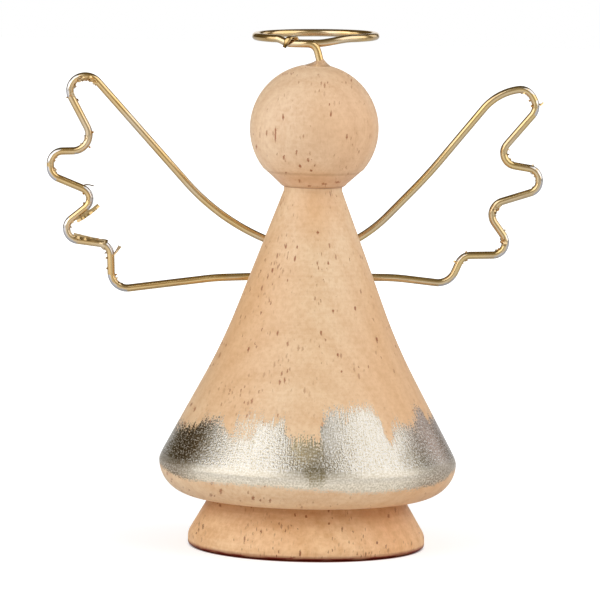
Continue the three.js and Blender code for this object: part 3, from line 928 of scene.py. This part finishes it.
def bentRuns(start, corners, end):
    points, before = [start], start
    ends = [corner[0] for corner in corners[1:]] + [end]
    for (corner, bend), following in zip(corners, ends):
        into, out = (corner - before).normalized(), (following - corner).normalized()
        angle = into.angle(out)
        reach = bend * math.tan(angle / 2)
        axis = into.cross(out).normalized()
        spoke = into.cross(axis) * bend
        enter = corner - into * reach
        steps = max(3, math.ceil(bend * angle / wire["step"]))
        points += [enter - spoke + Quaternion(axis, angle * k / steps) @ spoke for k in range(steps + 1)]
        before = corner + out * reach
    return points + [end]


def evenSteps(points, step):
    path = np.array([tuple(p) for p in points])
    lengths = np.concatenate(([0], np.cumsum(np.linalg.norm(np.diff(path, axis=0), axis=1))))
    marks = np.linspace(0, lengths[-1], max(2, round(lengths[-1] / step)) + 1)
    return marks, np.stack([np.interp(marks, lengths, path[:, k]) for k in range(3)], axis=1)


def addSkin(piece, along, around, wear):
    # where each point lies on the film, in mm, and how far the film is torn there
    for label, values in (("along", along), ("around", around), ("wear", wear)):
        layer = piece.data.attributes.new(label, "FLOAT", "POINT")
        layer.data.foreach_set("value", values)


def sweepWire(name, node, route, material, wearShare, held, section=None, darkFilmAndShade=None):
    marks, path = evenSteps(route, wire["step"])
    tangents = np.gradient(path, axis=0)
    tangents /= np.linalg.norm(tangents, axis=1)[:, None]
    curving = np.gradient(tangents, marks, axis=0)
    window = np.ones(round(wire["wearReach"] / wire["step"]) | 1)
    curving = np.stack([np.convolve(curving[:, k], window / len(window), "same") for k in range(3)], axis=1)
    side = np.cross(tangents[0], (0.0, 1.0, 0.3))  # any direction across the wire does for a start
    points, faces, along, around, wear = [], [], [], [], []
    sides = wire["sides"]
    for centre, tangent, bend, mark in zip(path, tangents, curving, marks):
        side = side - tangent * side.dot(tangent)
        side /= np.linalg.norm(side)
        other = np.cross(tangent, side)
        tightness = np.linalg.norm(bend)
        share = wearShare
        for across, up, reach in held:
            away = math.hypot(centre[0] - across, centre[2] - up)
            share *= smoothStep(away, wire["heldWhole"] * reach, reach)
        for k in range(sides):
            angle = 2 * math.pi * k / sides
            spoke = side * math.cos(angle) + other * math.sin(angle)
            reach = spoke * wire["radius"]
            if section:
                reach = section(reach, marks[-1] - mark)
            points.append(tuple(centre + reach))
            along.append(mark)
            around.append(wire["radius"] * angle)
            outer = -spoke.dot(bend) / max(tightness, 1e-6)
            torn = lineShare(tightness, *wire["wearBend"]) * lineShare(outer, *wire["wearSide"])
            # a given extra darkening pulls the wear below 0: painted shade on the halo's hook
            wear.append(share * torn - (darkFilmAndShade(marks[-1] - mark) if darkFilmAndShade else 0))
    rings = len(path)
    for i in range(rings - 1):
        for k in range(sides):
            a, b = i * sides + k, i * sides + (k + 1) % sides
            faces.append((a, b, b + sides, a + sides))
    faces.append(tuple(reversed(range(sides))))
    faces.append(tuple(range((rings - 1) * sides, rings * sides)))
    piece = dressPiece(name, points, faces, material, "gilded_wire", node, sharpAngle=50)
    addSkin(piece, along, around, wear)
    return path, tangents, curving


# Wings: both ends of each wire turn forward into holes in the back of the skirt. Corners are
# across and up from the middle of the upper holes, with the radius of the bend there
wing = {
    "drop": 18.6,
    "upperReach": 7,
    "lowerReach": 9,
    "lowerDrop": 7.6,
    "holeDepth": 9,
    "rootBend": 2.6,
    # for each wing its side, its corners, how far the film is worn, and the bends whose film held,
    # by across, height and reach
    "left": {
        "piece": "wing_left",
        "node": "wing_wire_left",
        "side": -1,
        "bends": [
            (-26, 8, 60), (-62.5, 48, 4.6), (-68.5, 43.5, 4), (-59, 26, 4.5), (-72.4, 25.5, 3.4),
            (-72.4, 19, 3.4), (-58.5, 13.5, 3.1), (-72.4, 2, 3.3), (-55.5, 0, 3.2), (-55, -12.5, 4.4),
            (-26.5, -8.5, 60),
        ],
        "wear": 0.75,
        "held": [(-60.5, 125.5, 5), (-61, 106.5, 5)],
    },
    "right": {
        "piece": "wing_right",
        "node": "wing_wire_right",
        "side": 1,
        "bends": [
            (16.5, 5.2, 40), (31.5, 21, 150), (50, 44, 15), (58.5, 45.5, 3.8), (61.5, 40, 3.8),
            (49, 25, 3.6), (62, 23, 3.2), (62.3, 17.5, 3.2), (47, 12.5, 3.9), (56.5, -0.5, 3.5),
            (41.5, -1, 3.5), (38, -9, 5), (23, -7.5, 60),
        ],
        "wear": 0.6,
        "held": [(53.5, 106.5, 4), (49, 91.5, 4)],
    },
}
upperHole = skirtHigh.z - wing["drop"]
lowerHole = upperHole - wing["lowerDrop"]
wingFeet = ((wing["upperReach"], upperHole), (wing["lowerReach"], lowerHole))
wingPlane = boxInMm("wing_wire_left")[1].y - wire["radius"]


def wingHole(across, height):
    mouth = math.sqrt(coneRadius(height) ** 2 - across ** 2)
    return Vector((across, mouth - wing["holeDepth"], height))


def wingHoleDrills():
    drills = []
    for side in (-1, 1):
        for reach, height in wingFeet:
            floor = wingHole(side * reach, height)
            drills.append((floor, Vector((floor.x, wingPlane, floor.z)), wire["radius"] + wire["holeGap"]))
    return drills


def makeWing(hand, material):
    shape = wing[hand]
    ends = [wingHole(shape["side"] * reach, height) for reach, height in wingFeet]
    roots = [(Vector((end.x, wingPlane, end.z)), wing["rootBend"]) for end in ends]
    corners = [(Vector((across, wingPlane, upperHole + up)), bend) for across, up, bend in shape["bends"]]
    starts = [end + Vector((0, wire["holeGap"], 0)) for end in ends]
    route = bentRuns(starts[0], [roots[0], *corners, roots[1]], starts[1])
    return sweepWire(shape["piece"], shape["node"], route, material, shape["wear"], shape["held"])


# Halo: one wire that rises from the crown, turns left into a ring, comes round inside its own
# start and hooks over it, with the hook's end pinched off by cutters
halo = {
    "stemOffset": 1.45,
    "stemHoleDepth": 9,
    "rise": 5.45,
    "overhang": 0.05,
    "start": 8.2,
    "hook": 23,
    "tuck": 252,
    "dip": 1.2,
    "dipStart": (25, 40),
    "dipEnd": (0, 40),
    "backRise": 0.4,
    "lean": 1,
    "stemBend": 2.3,
    "wireGap": 0.4,
    "hookTail": 2.7,
    "hookSlant": 1.2,
    "hookRise": 1.65,  # the end was squeezed flat, so it lies close over the wire
    "hookThick": 0.45,
    "hookWide": 0.95,
    "tipWide": 0.5,
    "tipRun": 2.4,  # how far from its end the hook narrows
    "hookBends": (1.2, 0.75, 0.75),
    "squeezeRun": (-0.6, 1.4),  # past the flat's length, where it goes over into the round wire
    "shadeRun": (-1.2, 0.4),  # and where the painted shade on the flat ends
    # how dark the painted shade on the flat is
    "dulled": 0.55,
    "cutRun": (0.3, 1.5),  # from the end, how far the painted shade at the cut reaches
    "cutShade": 0.9,
    "wear": 0.3,
}
haloRadius = headRadius + halo["overhang"] - wire["radius"]
wirePitch = 2 * wire["radius"] + halo["wireGap"]


def haloPoint(angle, radius):
    turn = math.radians(angle)
    across = -radius * math.sin(turn)
    climbed = smoothStep(angle, *halo["dipStart"]) * smoothStep(360 - angle, *halo["dipEnd"])
    rise = halo["dip"] * climbed + halo["backRise"] * (1 - math.cos(turn)) / 2
    height = headHigh.z + halo["rise"] + rise + across * math.tan(math.radians(halo["lean"]))
    return Vector((across, haloRadius - radius * math.cos(turn), height))


def haloStem():
    ringStart = haloPoint(halo["start"], haloRadius)
    corner = ringStart + Vector((halo["stemBend"], 0, 0))
    crown = Vector((halo["stemOffset"], 0, headCentre + math.sqrt(headRadius ** 2 - halo["stemOffset"] ** 2)))
    down = (crown - corner).normalized()
    floor = crown + down * halo["stemHoleDepth"]
    return {"ringStart": ringStart, "corner": corner, "crown": crown, "down": down, "floor": floor}


stem = haloStem()


def stemDrill():
    return stem["floor"], stem["corner"], wire["radius"] + wire["holeGap"]


def makeHalo():
    ringStart, corner = stem["ringStart"], stem["corner"]
    stemTop = corner + stem["down"] * halo["stemBend"]
    route = [stem["floor"] - stem["down"] * wire["holeGap"], stemTop]
    for k in range(1, 13):
        t = k / 12
        route.append((1 - t) ** 2 * stemTop + 2 * t * (1 - t) * corner + t * t * ringStart)
    for k in range(1, 241):
        angle = halo["start"] + (360 - halo["start"]) * k / 240
        route.append(haloPoint(angle, haloRadius - wirePitch * smoothStep(angle, halo["tuck"], 360)))
    behind = haloPoint(halo["hook"], haloRadius - wirePitch)
    over = haloPoint(halo["hook"], haloRadius - halo["hookRise"])
    front = haloPoint(halo["hook"] + 1, haloRadius + halo["hookRise"])
    rise = Vector((0, 0, halo["hookRise"]))
    tip = front + rise - Vector((halo["hookSlant"], 0, halo["hookTail"]))
    corners = zip((behind, over + rise, front + rise), halo["hookBends"])
    route += bentRuns(route.pop(), list(corners), tip)
    turn = math.radians(halo["hook"])
    alongRing = np.array((-math.cos(turn), math.sin(turn), 0.0))
    flatLength = 2 * halo["hookRise"] + halo["hookTail"]

    def squeezed(reach, toEnd):
        # round until the bend, then flat, and narrow at the end, where the cutters met
        flat = 1 - smoothStep(toEnd, *(flatLength + run for run in halo["squeezeRun"]))
        wide = halo["tipWide"] + (halo["hookWide"] - halo["tipWide"]) * smoothStep(toEnd, 0, halo["tipRun"])
        lateral = alongRing * reach.dot(alongRing)
        thin = 1 + (halo["hookThick"] / wire["radius"] - 1) * flat
        return lateral * (1 + (wide / wire["radius"] - 1) * flat) + (reach - lateral) * thin

    def darkFilmAndShade(toEnd):
        # painted shade: the whole flat is darkened, most at the cut end
        flat = 1 - smoothStep(toEnd, *(flatLength + run for run in halo["shadeRun"]))
        return halo["dulled"] * flat + halo["cutShade"] * (1 - smoothStep(toEnd, *halo["cutRun"]))

    sweepWire("halo_ring", "halo_wire", route, gildedWire, halo["wear"], (), squeezed, darkFilmAndShade)


# Glue bead: a low mound on the crown, with a meniscus that climbs the stem, most to the right
glue = {
    "climb": 1.3,
    "climbFall": 4,  # how steeply the meniscus falls off from the stem
    "leastClimb": 0.25,  # its share round the left of the stem
    "mound": 0.7,
    "moundFall": 1.5,
    "reach": 3.1,
    "leftReach": 1.0,
    "wobble": 0.15,
    "thin": 0.03,
    "sunk": 0.03,
    "steps": 12,
    "sides": 48,
}


def makeGlueBead():
    crown, down = stem["crown"], stem["down"]
    centre = Vector((0, 0, headCentre))
    inner = wire["radius"] - glue["sunk"]
    points, faces = [], []
    sides, steps = glue["sides"], glue["steps"]
    for top in (True, False):
        for j in range(steps + 1):
            share = j / steps
            for k in range(sides):
                angle = 2 * math.pi * k / sides
                reach = glue["reach"] - glue["leftReach"] * math.cos(angle)
                reach += glue["wobble"] * math.sin(3 * angle + 1)
                radius = inner + reach * share
                spot = crown + Vector((radius * math.cos(angle), radius * math.sin(angle), 0))
                outward = (spot - centre).normalized()
                onBall = centre + outward * (headRadius - glue["sunk"])
                rightward = glue["leastClimb"] + (1 - glue["leastClimb"]) * max(0, math.cos(angle))
                climb = glue["climb"] * rightward * (1 - share) ** glue["climbFall"]
                climb += glue["mound"] * (1 - share) ** glue["moundFall"]
                lift = 2 * glue["thin"] + climb if top else 0.0
                lean = (outward * share - down * (1 - share)).normalized()
                points.append(tuple(onBall + lean * lift))
    rows = steps + 1
    for layer in (0, 1):
        for j in range(steps):
            for k in range(sides):
                a = (layer * rows + j) * sides + k
                b = (layer * rows + j) * sides + (k + 1) % sides
                quad = (a, a + sides, b + sides, b)
                faces.append(quad[::-1] if layer else quad)
    for j in (0, steps):
        for k in range(sides):
            a, b = j * sides + k, j * sides + (k + 1) % sides
            quad = (a, b, b + rows * sides, a + rows * sides)
            faces.append(quad[::-1] if j else quad)
    dressPiece("halo_glue", points, faces, clearGlue, "clear_glue", "halo_glue_bead", sharpAngle=60)


# Film: crumpled bits inside the tight bends, and strips that came away and stand off the wire
film = {
    "thickness": 0.1,
    "crumpleStep": 0.5,
    "crumpleBend": 0.2,
    "crumpleShare": 0.35,
    # least and most size of a bit, and how far round from the inside of the bend it may sit
    "crumple": (0.22, 0.55, 1.1),
    "patch": (0.3, 0.65, 1.6),
    "crumbSize": (0.25, 0.42),
    "crumbCount": 3,
    "flakeCorners": 6,
    "stripStep": 0.4,
    "stripTaper": 0.35,
    "sleeveTop": (0.0, -0.35, 1.0),  # direction that the middle of a lifted sleeve faces
    "sleeveSpan": 115,  # degrees that it goes round the wire to each side
    "sleeveFacets": 12,
    "flareRun": 2.6,
    # For each wing:
    # patches where more film gathered, by across, height, reach along the wire and number of bits;
    # single crumbs that cling to the wire, by across and height;
    # strips by half width, wear, where below 0 is darker film, and run across, up and to the front;
    # a length of the film's tube that lifted whole, by from and to across and up, its play round
    # the wire and how far its loose end flares
    "left": {
        "piece": "wing_film_left",
        "seed": 3,
        "patches": [(-62.8, 125.0, 3.4, 80), (-64.9, 120.0, 2.0, 10), (-64.8, 82.0, 1.4, 22)],
        "crumbs": [
            (-65.4, 122.7), (-68.8, 119.5), (-61.3, 106.0), (-61.2, 110.4), (-71.4, 102.5), (-71.1, 100.3),
            (-63.3, 93.3), (-63.1, 90.8), (-56.4, 75.7), (-56.6, 72.9), (-53.9, 71.2),
        ],
        "strips": [
            (0.2, -0.9, [(-63.6, 95.2, 0.2), (-62.8, 95.9, 0.3), (-61.6, 95.9, 0.3), (-60.3, 95.6, 0.4)]),
            (0.85, -0.5, [
                (-65.0, 86.1, 0.7), (-63.4, 86.9, 0.9), (-61.8, 88.0, 0.9), (-60.3, 89.1, 1.0),
                (-58.9, 90.4, 1.1),
            ]),
            (0.75, -0.42, [
                (-65.7, 81.9, 0.9), (-64.4, 81.7, 1.25), (-62.4, 81.3, 1.3), (-60.0, 80.9, 1.3),
                (-56.9, 80.4, 1.25),
            ]),
            (0.4, -0.5, [(-54.7, 76.6, 0.5), (-53.9, 77.5, 0.6), (-53.3, 78.3, 0.6), (-52.6, 79.0, 0.7)]),
            (0.3, -0.5, [(-54.0, 77.4, 0.6), (-53.5, 78.4, 0.7), (-53.1, 79.3, 0.8)]),
        ],
        "sleeve": ((-64.6, -56.6), (78.5, 83.0), 0.16, 0.4),
    },
    "right": {
        "piece": "wing_film_right",
        "seed": 8,
        "patches": [(51.0, 91.2, 2.2, 26), (52.6, 82.6, 1.2, 14)],
        "crumbs": [
            (59.1, 121.6), (62.2, 120.6), (53.7, 107.8), (60.4, 103.8), (51.3, 90.9), (53.1, 85.7),
            (52.1, 82.3), (42.5, 79.4), (39.2, 76.8), (42.6, 77.3),
        ],
        "strips": [(0.25, 0, [(61.9, 120.2, 0.3), (62.4, 120.6, 0.4), (62.8, 121.1, 0.5)])],
        "sleeve": None,
    },
}


def addLoft(bits, rings, bare):
    start, count = len(bits["points"]), len(rings[0])
    for ring in rings:
        bits["points"] += [tuple(p) for p in ring]
        bits["wear"] += [bare] * count
    for i in range(len(rings) - 1):
        for k in range(count):
            a, b = start + i * count + k, start + i * count + (k + 1) % count
            bits["faces"].append((a, b, b + count, a + count))
    bits["faces"].append(tuple(start + k for k in reversed(range(count))))
    bits["faces"].append(tuple(start + (len(rings) - 1) * count + k for k in range(count)))


def addFlake(bits, draw, centre, facing, size):
    # a small thin plate with a ragged outline
    facing = facing / np.linalg.norm(facing)
    edge = np.cross(facing, (0.3, 0.5, 0.8))
    edge /= np.linalg.norm(edge)
    other = np.cross(facing, edge)
    corners = film["flakeCorners"]
    rim = []
    for k in range(corners):
        angle = 2 * math.pi * (k + draw.uniform(-0.3, 0.3)) / corners
        reach = size * draw.uniform(0.5, 1.2)
        lift = facing * size * draw.uniform(-0.25, 0.25)
        rim.append(centre + reach * (edge * math.cos(angle) + other * math.sin(angle)) + lift)
    half = facing * film["thickness"] / 2
    addLoft(bits, [[p - half for p in rim], [p + half for p in rim]], 0.0)


def addStrip(bits, draw, run, half, bare):
    spine = np.array([(across, wingPlane - front, up) for across, up, front in run])
    spine = evenSteps(spine, film["stripStep"])[1]
    tangents = np.gradient(spine, axis=0)
    rings = []
    for i, (middle, tangent) in enumerate(zip(spine, tangents)):
        tangent = tangent / np.linalg.norm(tangent)
        wide = np.cross(tangent, (draw.uniform(-0.3, 0.3), 1.0, draw.uniform(-0.3, 0.3)))
        wide /= np.linalg.norm(wide)
        out = np.cross(wide, tangent)
        taper = half * (1 - film["stripTaper"] * i / len(spine)) * draw.uniform(0.88, 1.05)
        cup = out * taper * draw.uniform(0.2, 0.5)
        thick = out * film["thickness"]
        top = [middle - wide * taper, middle + cup, middle + wide * taper]
        rings.append([p + thick for p in top] + [p - thick for p in reversed(top)])
    addLoft(bits, rings, bare)


def addSleeve(bits, path, tangents, sleeve):
    (left, right), (lowest, highest), play, flare = sleeve
    inRun = (path[:, 0] > left) & (path[:, 0] < right) & (path[:, 2] > lowest) & (path[:, 2] < highest)
    span, facets = film["sleeveSpan"], film["sleeveFacets"]
    rings = []
    for middle, tangent in zip(path[inRun], tangents[inRun]):
        top = np.array(film["sleeveTop"])
        top -= tangent * top.dot(tangent)
        top /= np.linalg.norm(top)
        wide = np.cross(tangent, top)
        reach = wire["radius"] + play + flare * smoothStep(middle[0], right - film["flareRun"], right)
        outer, inner = [], []
        for k in range(facets + 1):
            angle = math.radians(-span + 2 * span * k / facets)
            spoke = top * math.cos(angle) + wide * math.sin(angle)
            outer.append(middle + spoke * reach)
            inner.append(middle + spoke * (reach - film["thickness"]))
        rings.append(outer + inner[::-1])
    addLoft(bits, rings, 0.0)


def makeFilm(hand, swept):
    shape = film[hand]
    path, tangents, curving = swept
    draw = random.Random(shape["seed"])
    bits = {"points": [], "faces": [], "wear": []}
    inWing = path[:, 1] > wingPlane - 0.1

    def nearest(across, up):
        return int(np.argmin(np.hypot(path[:, 0] - across, path[:, 2] - up)))

    def crumple(i, least, most, turn):
        # a bit that clings to the wire, turned round it from the inside of the bend
        inward = curving[i] / max(np.linalg.norm(curving[i]), 1e-6)
        sideways = np.cross(tangents[i], inward)
        around = draw.uniform(-turn, turn)
        out = inward * math.cos(around) + sideways * math.sin(around)
        spot = path[i] + out * (wire["radius"] + draw.uniform(0.0, 0.2))
        tilt = np.array([draw.uniform(-0.9, 0.9) for k in range(3)])
        addFlake(bits, draw, spot, out + tilt, draw.uniform(least, most))

    stride = max(1, round(film["crumpleStep"] / wire["step"]))
    for i in range(0, len(path), stride):
        tight = np.linalg.norm(curving[i]) > film["crumpleBend"]
        if inWing[i] and tight and draw.random() < film["crumpleShare"]:
            crumple(i, *film["crumple"])
    for across, up, reach, count in shape["patches"]:
        near = nearest(across, up)
        spread = reach / wire["step"]
        for k in range(count):
            crumple(near + round(draw.uniform(-spread, spread)), *film["patch"])
    for across, up in shape["crumbs"]:
        near = nearest(across, up)
        out = np.array((across, wingPlane - 0.2, up)) - path[near]
        out /= np.linalg.norm(out)
        for k in range(film["crumbCount"]):
            spot = path[near] + out * (wire["radius"] + draw.uniform(0.0, 0.3))
            tilt = np.array([draw.uniform(-1, 1) for axis in range(3)])
            addFlake(bits, draw, spot, tilt, draw.uniform(*film["crumbSize"]))
    for half, bare, run in shape["strips"]:
        addStrip(bits, draw, run, half, bare)
    if shape["sleeve"]:
        addSleeve(bits, path, tangents, shape["sleeve"])
    points = bits["points"]
    piece = dressPiece(shape["piece"], points, bits["faces"], gildedWire, "gilded_wire", sharpAngle=30)
    addSkin(piece, [p[0] for p in points], [p[2] for p in points], bits["wear"])


makeFoot()
makeSkirt(wingHoleDrills())
makeHead(stemDrill())
makeDowel("dowel_in_foot", "foot_dowel")
makeDowel("dowel_in_neck", "neck_dowel")
print("wood turned")
swept = {"left": makeWing("left", gildedWire), "right": makeWing("right", paleWire)}
for hand in swept:
    makeFilm(hand, swept[hand])
makeHalo()
makeGlueBead()
print("wire bent")

# Studio: white floor and backdrop, a high wide soft box to the left, a narrower one to the right
# and a dim room in front
studio = {
    # angle round from the camera, angle up, width, height and brightness
    "boxes": [
        (-50, 30, 1460, 1400, 1.55), (-86, 16, 700, 800, 1.2), (72, 34, 1760, 1700, 1.3),
        (134, 18, 600, 900, 0.85),
    ],
    "boxDistance": 1500.0,
    "boxAim": 60.0,  # height that the boxes stand round and face
    "ambient": 0.49,
    "room": "#756a4e",  # over the piece
    "roomLow": "#bfb59f",  # before it
    "roomClimb": (0.25, 0.9),
    "roomBehind": "#5c5033",  # beside the backdrop
    "roomTurn": (-0.25, 0.4),
    "backdropReach": (24, 15),  # degrees from straight behind, where the backdrop ends and is whole
    "floorReach": 3000,
    "floorDrop": 0.02,
    "paper": "#f2f2f2",
    "paperSeen": "#c4c4c4",
    "paperRoughness": 0.9,
    "paperGlow": 0.62,
    "paperMirrored": (0.1, 0.5),  # share of the paper's own glow that metal shows, behind and before
    "mirrorReach": (-15, -70),
    "dimSlant": -0.7,
    "dimReach": (230, 480),
    "dimShare": 0.3,
    "shadowReach": (150, 500),
    # how far forward the foot's own thin shadow falls, how far in its rim lies, and its soft edge
    "contact": (2.3, 0.6, 0.6),
    "contactTint": "#642416",
}


def makeFloor():
    reach = studio["floorReach"]
    corners = [(-reach, -reach, 0), (reach, -reach, 0), (reach, reach, 0), (-reach, reach, 0)]
    floor = addMesh("floor", corners, [(0, 1, 2, 3)])
    floor.location.z = -studio["floorDrop"] * mm
    material, tree, shader = startMaterial("paperFloor")
    floor.data.materials.append(material)
    path = addNode(tree, "LightPath", out="Is Camera Ray")
    rays = path.node.outputs
    direct = addNode(tree, "Math.MAXIMUM", [path, rays["Is Transmission Ray"]])
    seen = addNode(tree, "Math.MAXIMUM", [direct, rays["Is Glossy Ray"]])
    place = addNode(tree, "TexCoord", out="Object")
    spot = addNode(tree, "Mapping", {"Vector": place, "Scale": perMm(mm, mm, mm)})
    across = addNode(tree, "SeparateXYZ", [spot])
    ahead = across.node.outputs["Y"]
    share = addNode(tree, "MapRange", [ahead, *studio["mirrorReach"], *studio["paperMirrored"]])
    # further off to the right the paper lies in less light
    off = addNode(tree, "Math.MULTIPLY_ADD", [ahead, studio["dimSlant"], across])
    dim = addNode(tree, "MapRange", [off, *studio["dimReach"], 0.0, studio["dimShare"]])
    mirrored = addNode(tree, "Math.SUBTRACT", [share, dim], use_clamp=True)
    glows = addNode(tree, "Math.MULTIPLY_ADD", [rays["Is Glossy Ray"], mirrored, direct])
    # seen directly, the paper glows by itself, fully so away from the piece, and keeps the shadow near it
    away = addNode(tree, "VectorMath.LENGTH", [spot], "Value")
    glow = addNode(tree, "MapRange", [away, *studio["shadowReach"], studio["paperGlow"]])
    shown = addNode(tree, "Math.MULTIPLY", [glow, glows])
    papers = {6: linearColour(studio["paper"]), 7: linearColour(studio["paperSeen"])}
    paper = addNode(tree, "Mix", {0: seen, **papers}, **inColour)
    # right before the foot the paper lies in its shadow, which takes up the wood's red
    forward, inset, soft = studio["contact"]
    moved = addNode(tree, "VectorMath.ADD", [spot, (0, forward, 0)])
    fromFoot = addNode(tree, "VectorMath.LENGTH", [moved], "Value")
    rim = footHigh.x - inset
    clear = addNode(tree, "MapRange", [fromFoot, rim - soft, rim + soft])
    colour = addNode(tree, "Mix", {0: clear, 6: linearColour(studio["contactTint"]), 7: paper}, **inColour)
    lit = addNode(tree, "Math.MULTIPLY", [shown, clear])
    setInputs(tree, shader, {"Base Color": colour, "Emission Color": (1, 1, 1, 1), "Emission Strength": lit})
    setInputs(tree, shader, {"Roughness": studio["paperRoughness"], "Specular IOR Level": 0.0})


def makeWorld():
    world = bpy.data.worlds.new("studio")
    bpy.context.scene.world = world
    world.use_nodes = True
    tree = world.node_tree
    tree.nodes.clear()
    direction = addNode(tree, "TexCoord", out="Generated")
    away = addNode(tree, "SeparateXYZ", [direction]).node.outputs
    path = addNode(tree, "LightPath", out="Is Camera Ray")
    rays = path.node.outputs
    # the backdrop stands behind the piece, and the room beside and in front of it is dim
    edges = [math.cos(math.radians(angle)) for angle in studio["backdropReach"]]
    behind = addNode(tree, "MapRange", [away["Y"], *edges])
    backdrop = addNode(tree, "Math.MAXIMUM", [behind, path])
    climb = addNode(tree, "MapRange", [away["Z"], *studio["roomClimb"]])
    walls = {6: linearColour(studio["roomLow"]), 7: linearColour(studio["room"])}
    wall = addNode(tree, "Mix", {0: climb, **walls}, **inColour)
    beside = addNode(tree, "MapRange", [away["Y"], *studio["roomTurn"]])
    room = addNode(tree, "Mix", {0: beside, 6: wall, 7: linearColour(studio["roomBehind"])}, **inColour)
    shown = addNode(tree, "Mix", {0: backdrop, 6: room, 7: (1, 1, 1, 1)}, **inColour)
    direct = addNode(tree, "Math.MAXIMUM", [path, rays["Is Transmission Ray"]])
    seen = addNode(tree, "Math.MAXIMUM", [direct, rays["Is Glossy Ray"]])
    fill = addNode(tree, "Background", {"Color": (1, 1, 1, 1), "Strength": studio["ambient"]})
    view = addNode(tree, "Background", {"Color": shown, "Strength": 1.0})
    mixed = addNode(tree, "MixShader", [seen, fill, view])
    tree.links.new(mixed, tree.nodes.new("ShaderNodeOutputWorld").inputs["Surface"])


def makeSoftBoxes():
    for turn, climb, width, height, brightness in studio["boxes"]:
        light = bpy.data.lights.new("softBox", "AREA")
        light.shape = "RECTANGLE"
        light.size, light.size_y = width * mm, height * mm
        light.energy = brightness * math.pi * light.size * light.size_y
        lamp = addObject("softBox", light)
        turn, climb = math.radians(turn), math.radians(climb)
        aim = Vector((math.sin(turn) * math.cos(climb), -math.cos(turn) * math.cos(climb), math.sin(climb)))
        lamp.location = (aim * studio["boxDistance"] + Vector((0, 0, studio["boxAim"]))) * mm
        turnTo(lamp, -aim, "-Z")


makeFloor()
makeWorld()
makeSoftBoxes()
bpy.context.scene.view_settings.view_transform = "Standard"
print("studio set")
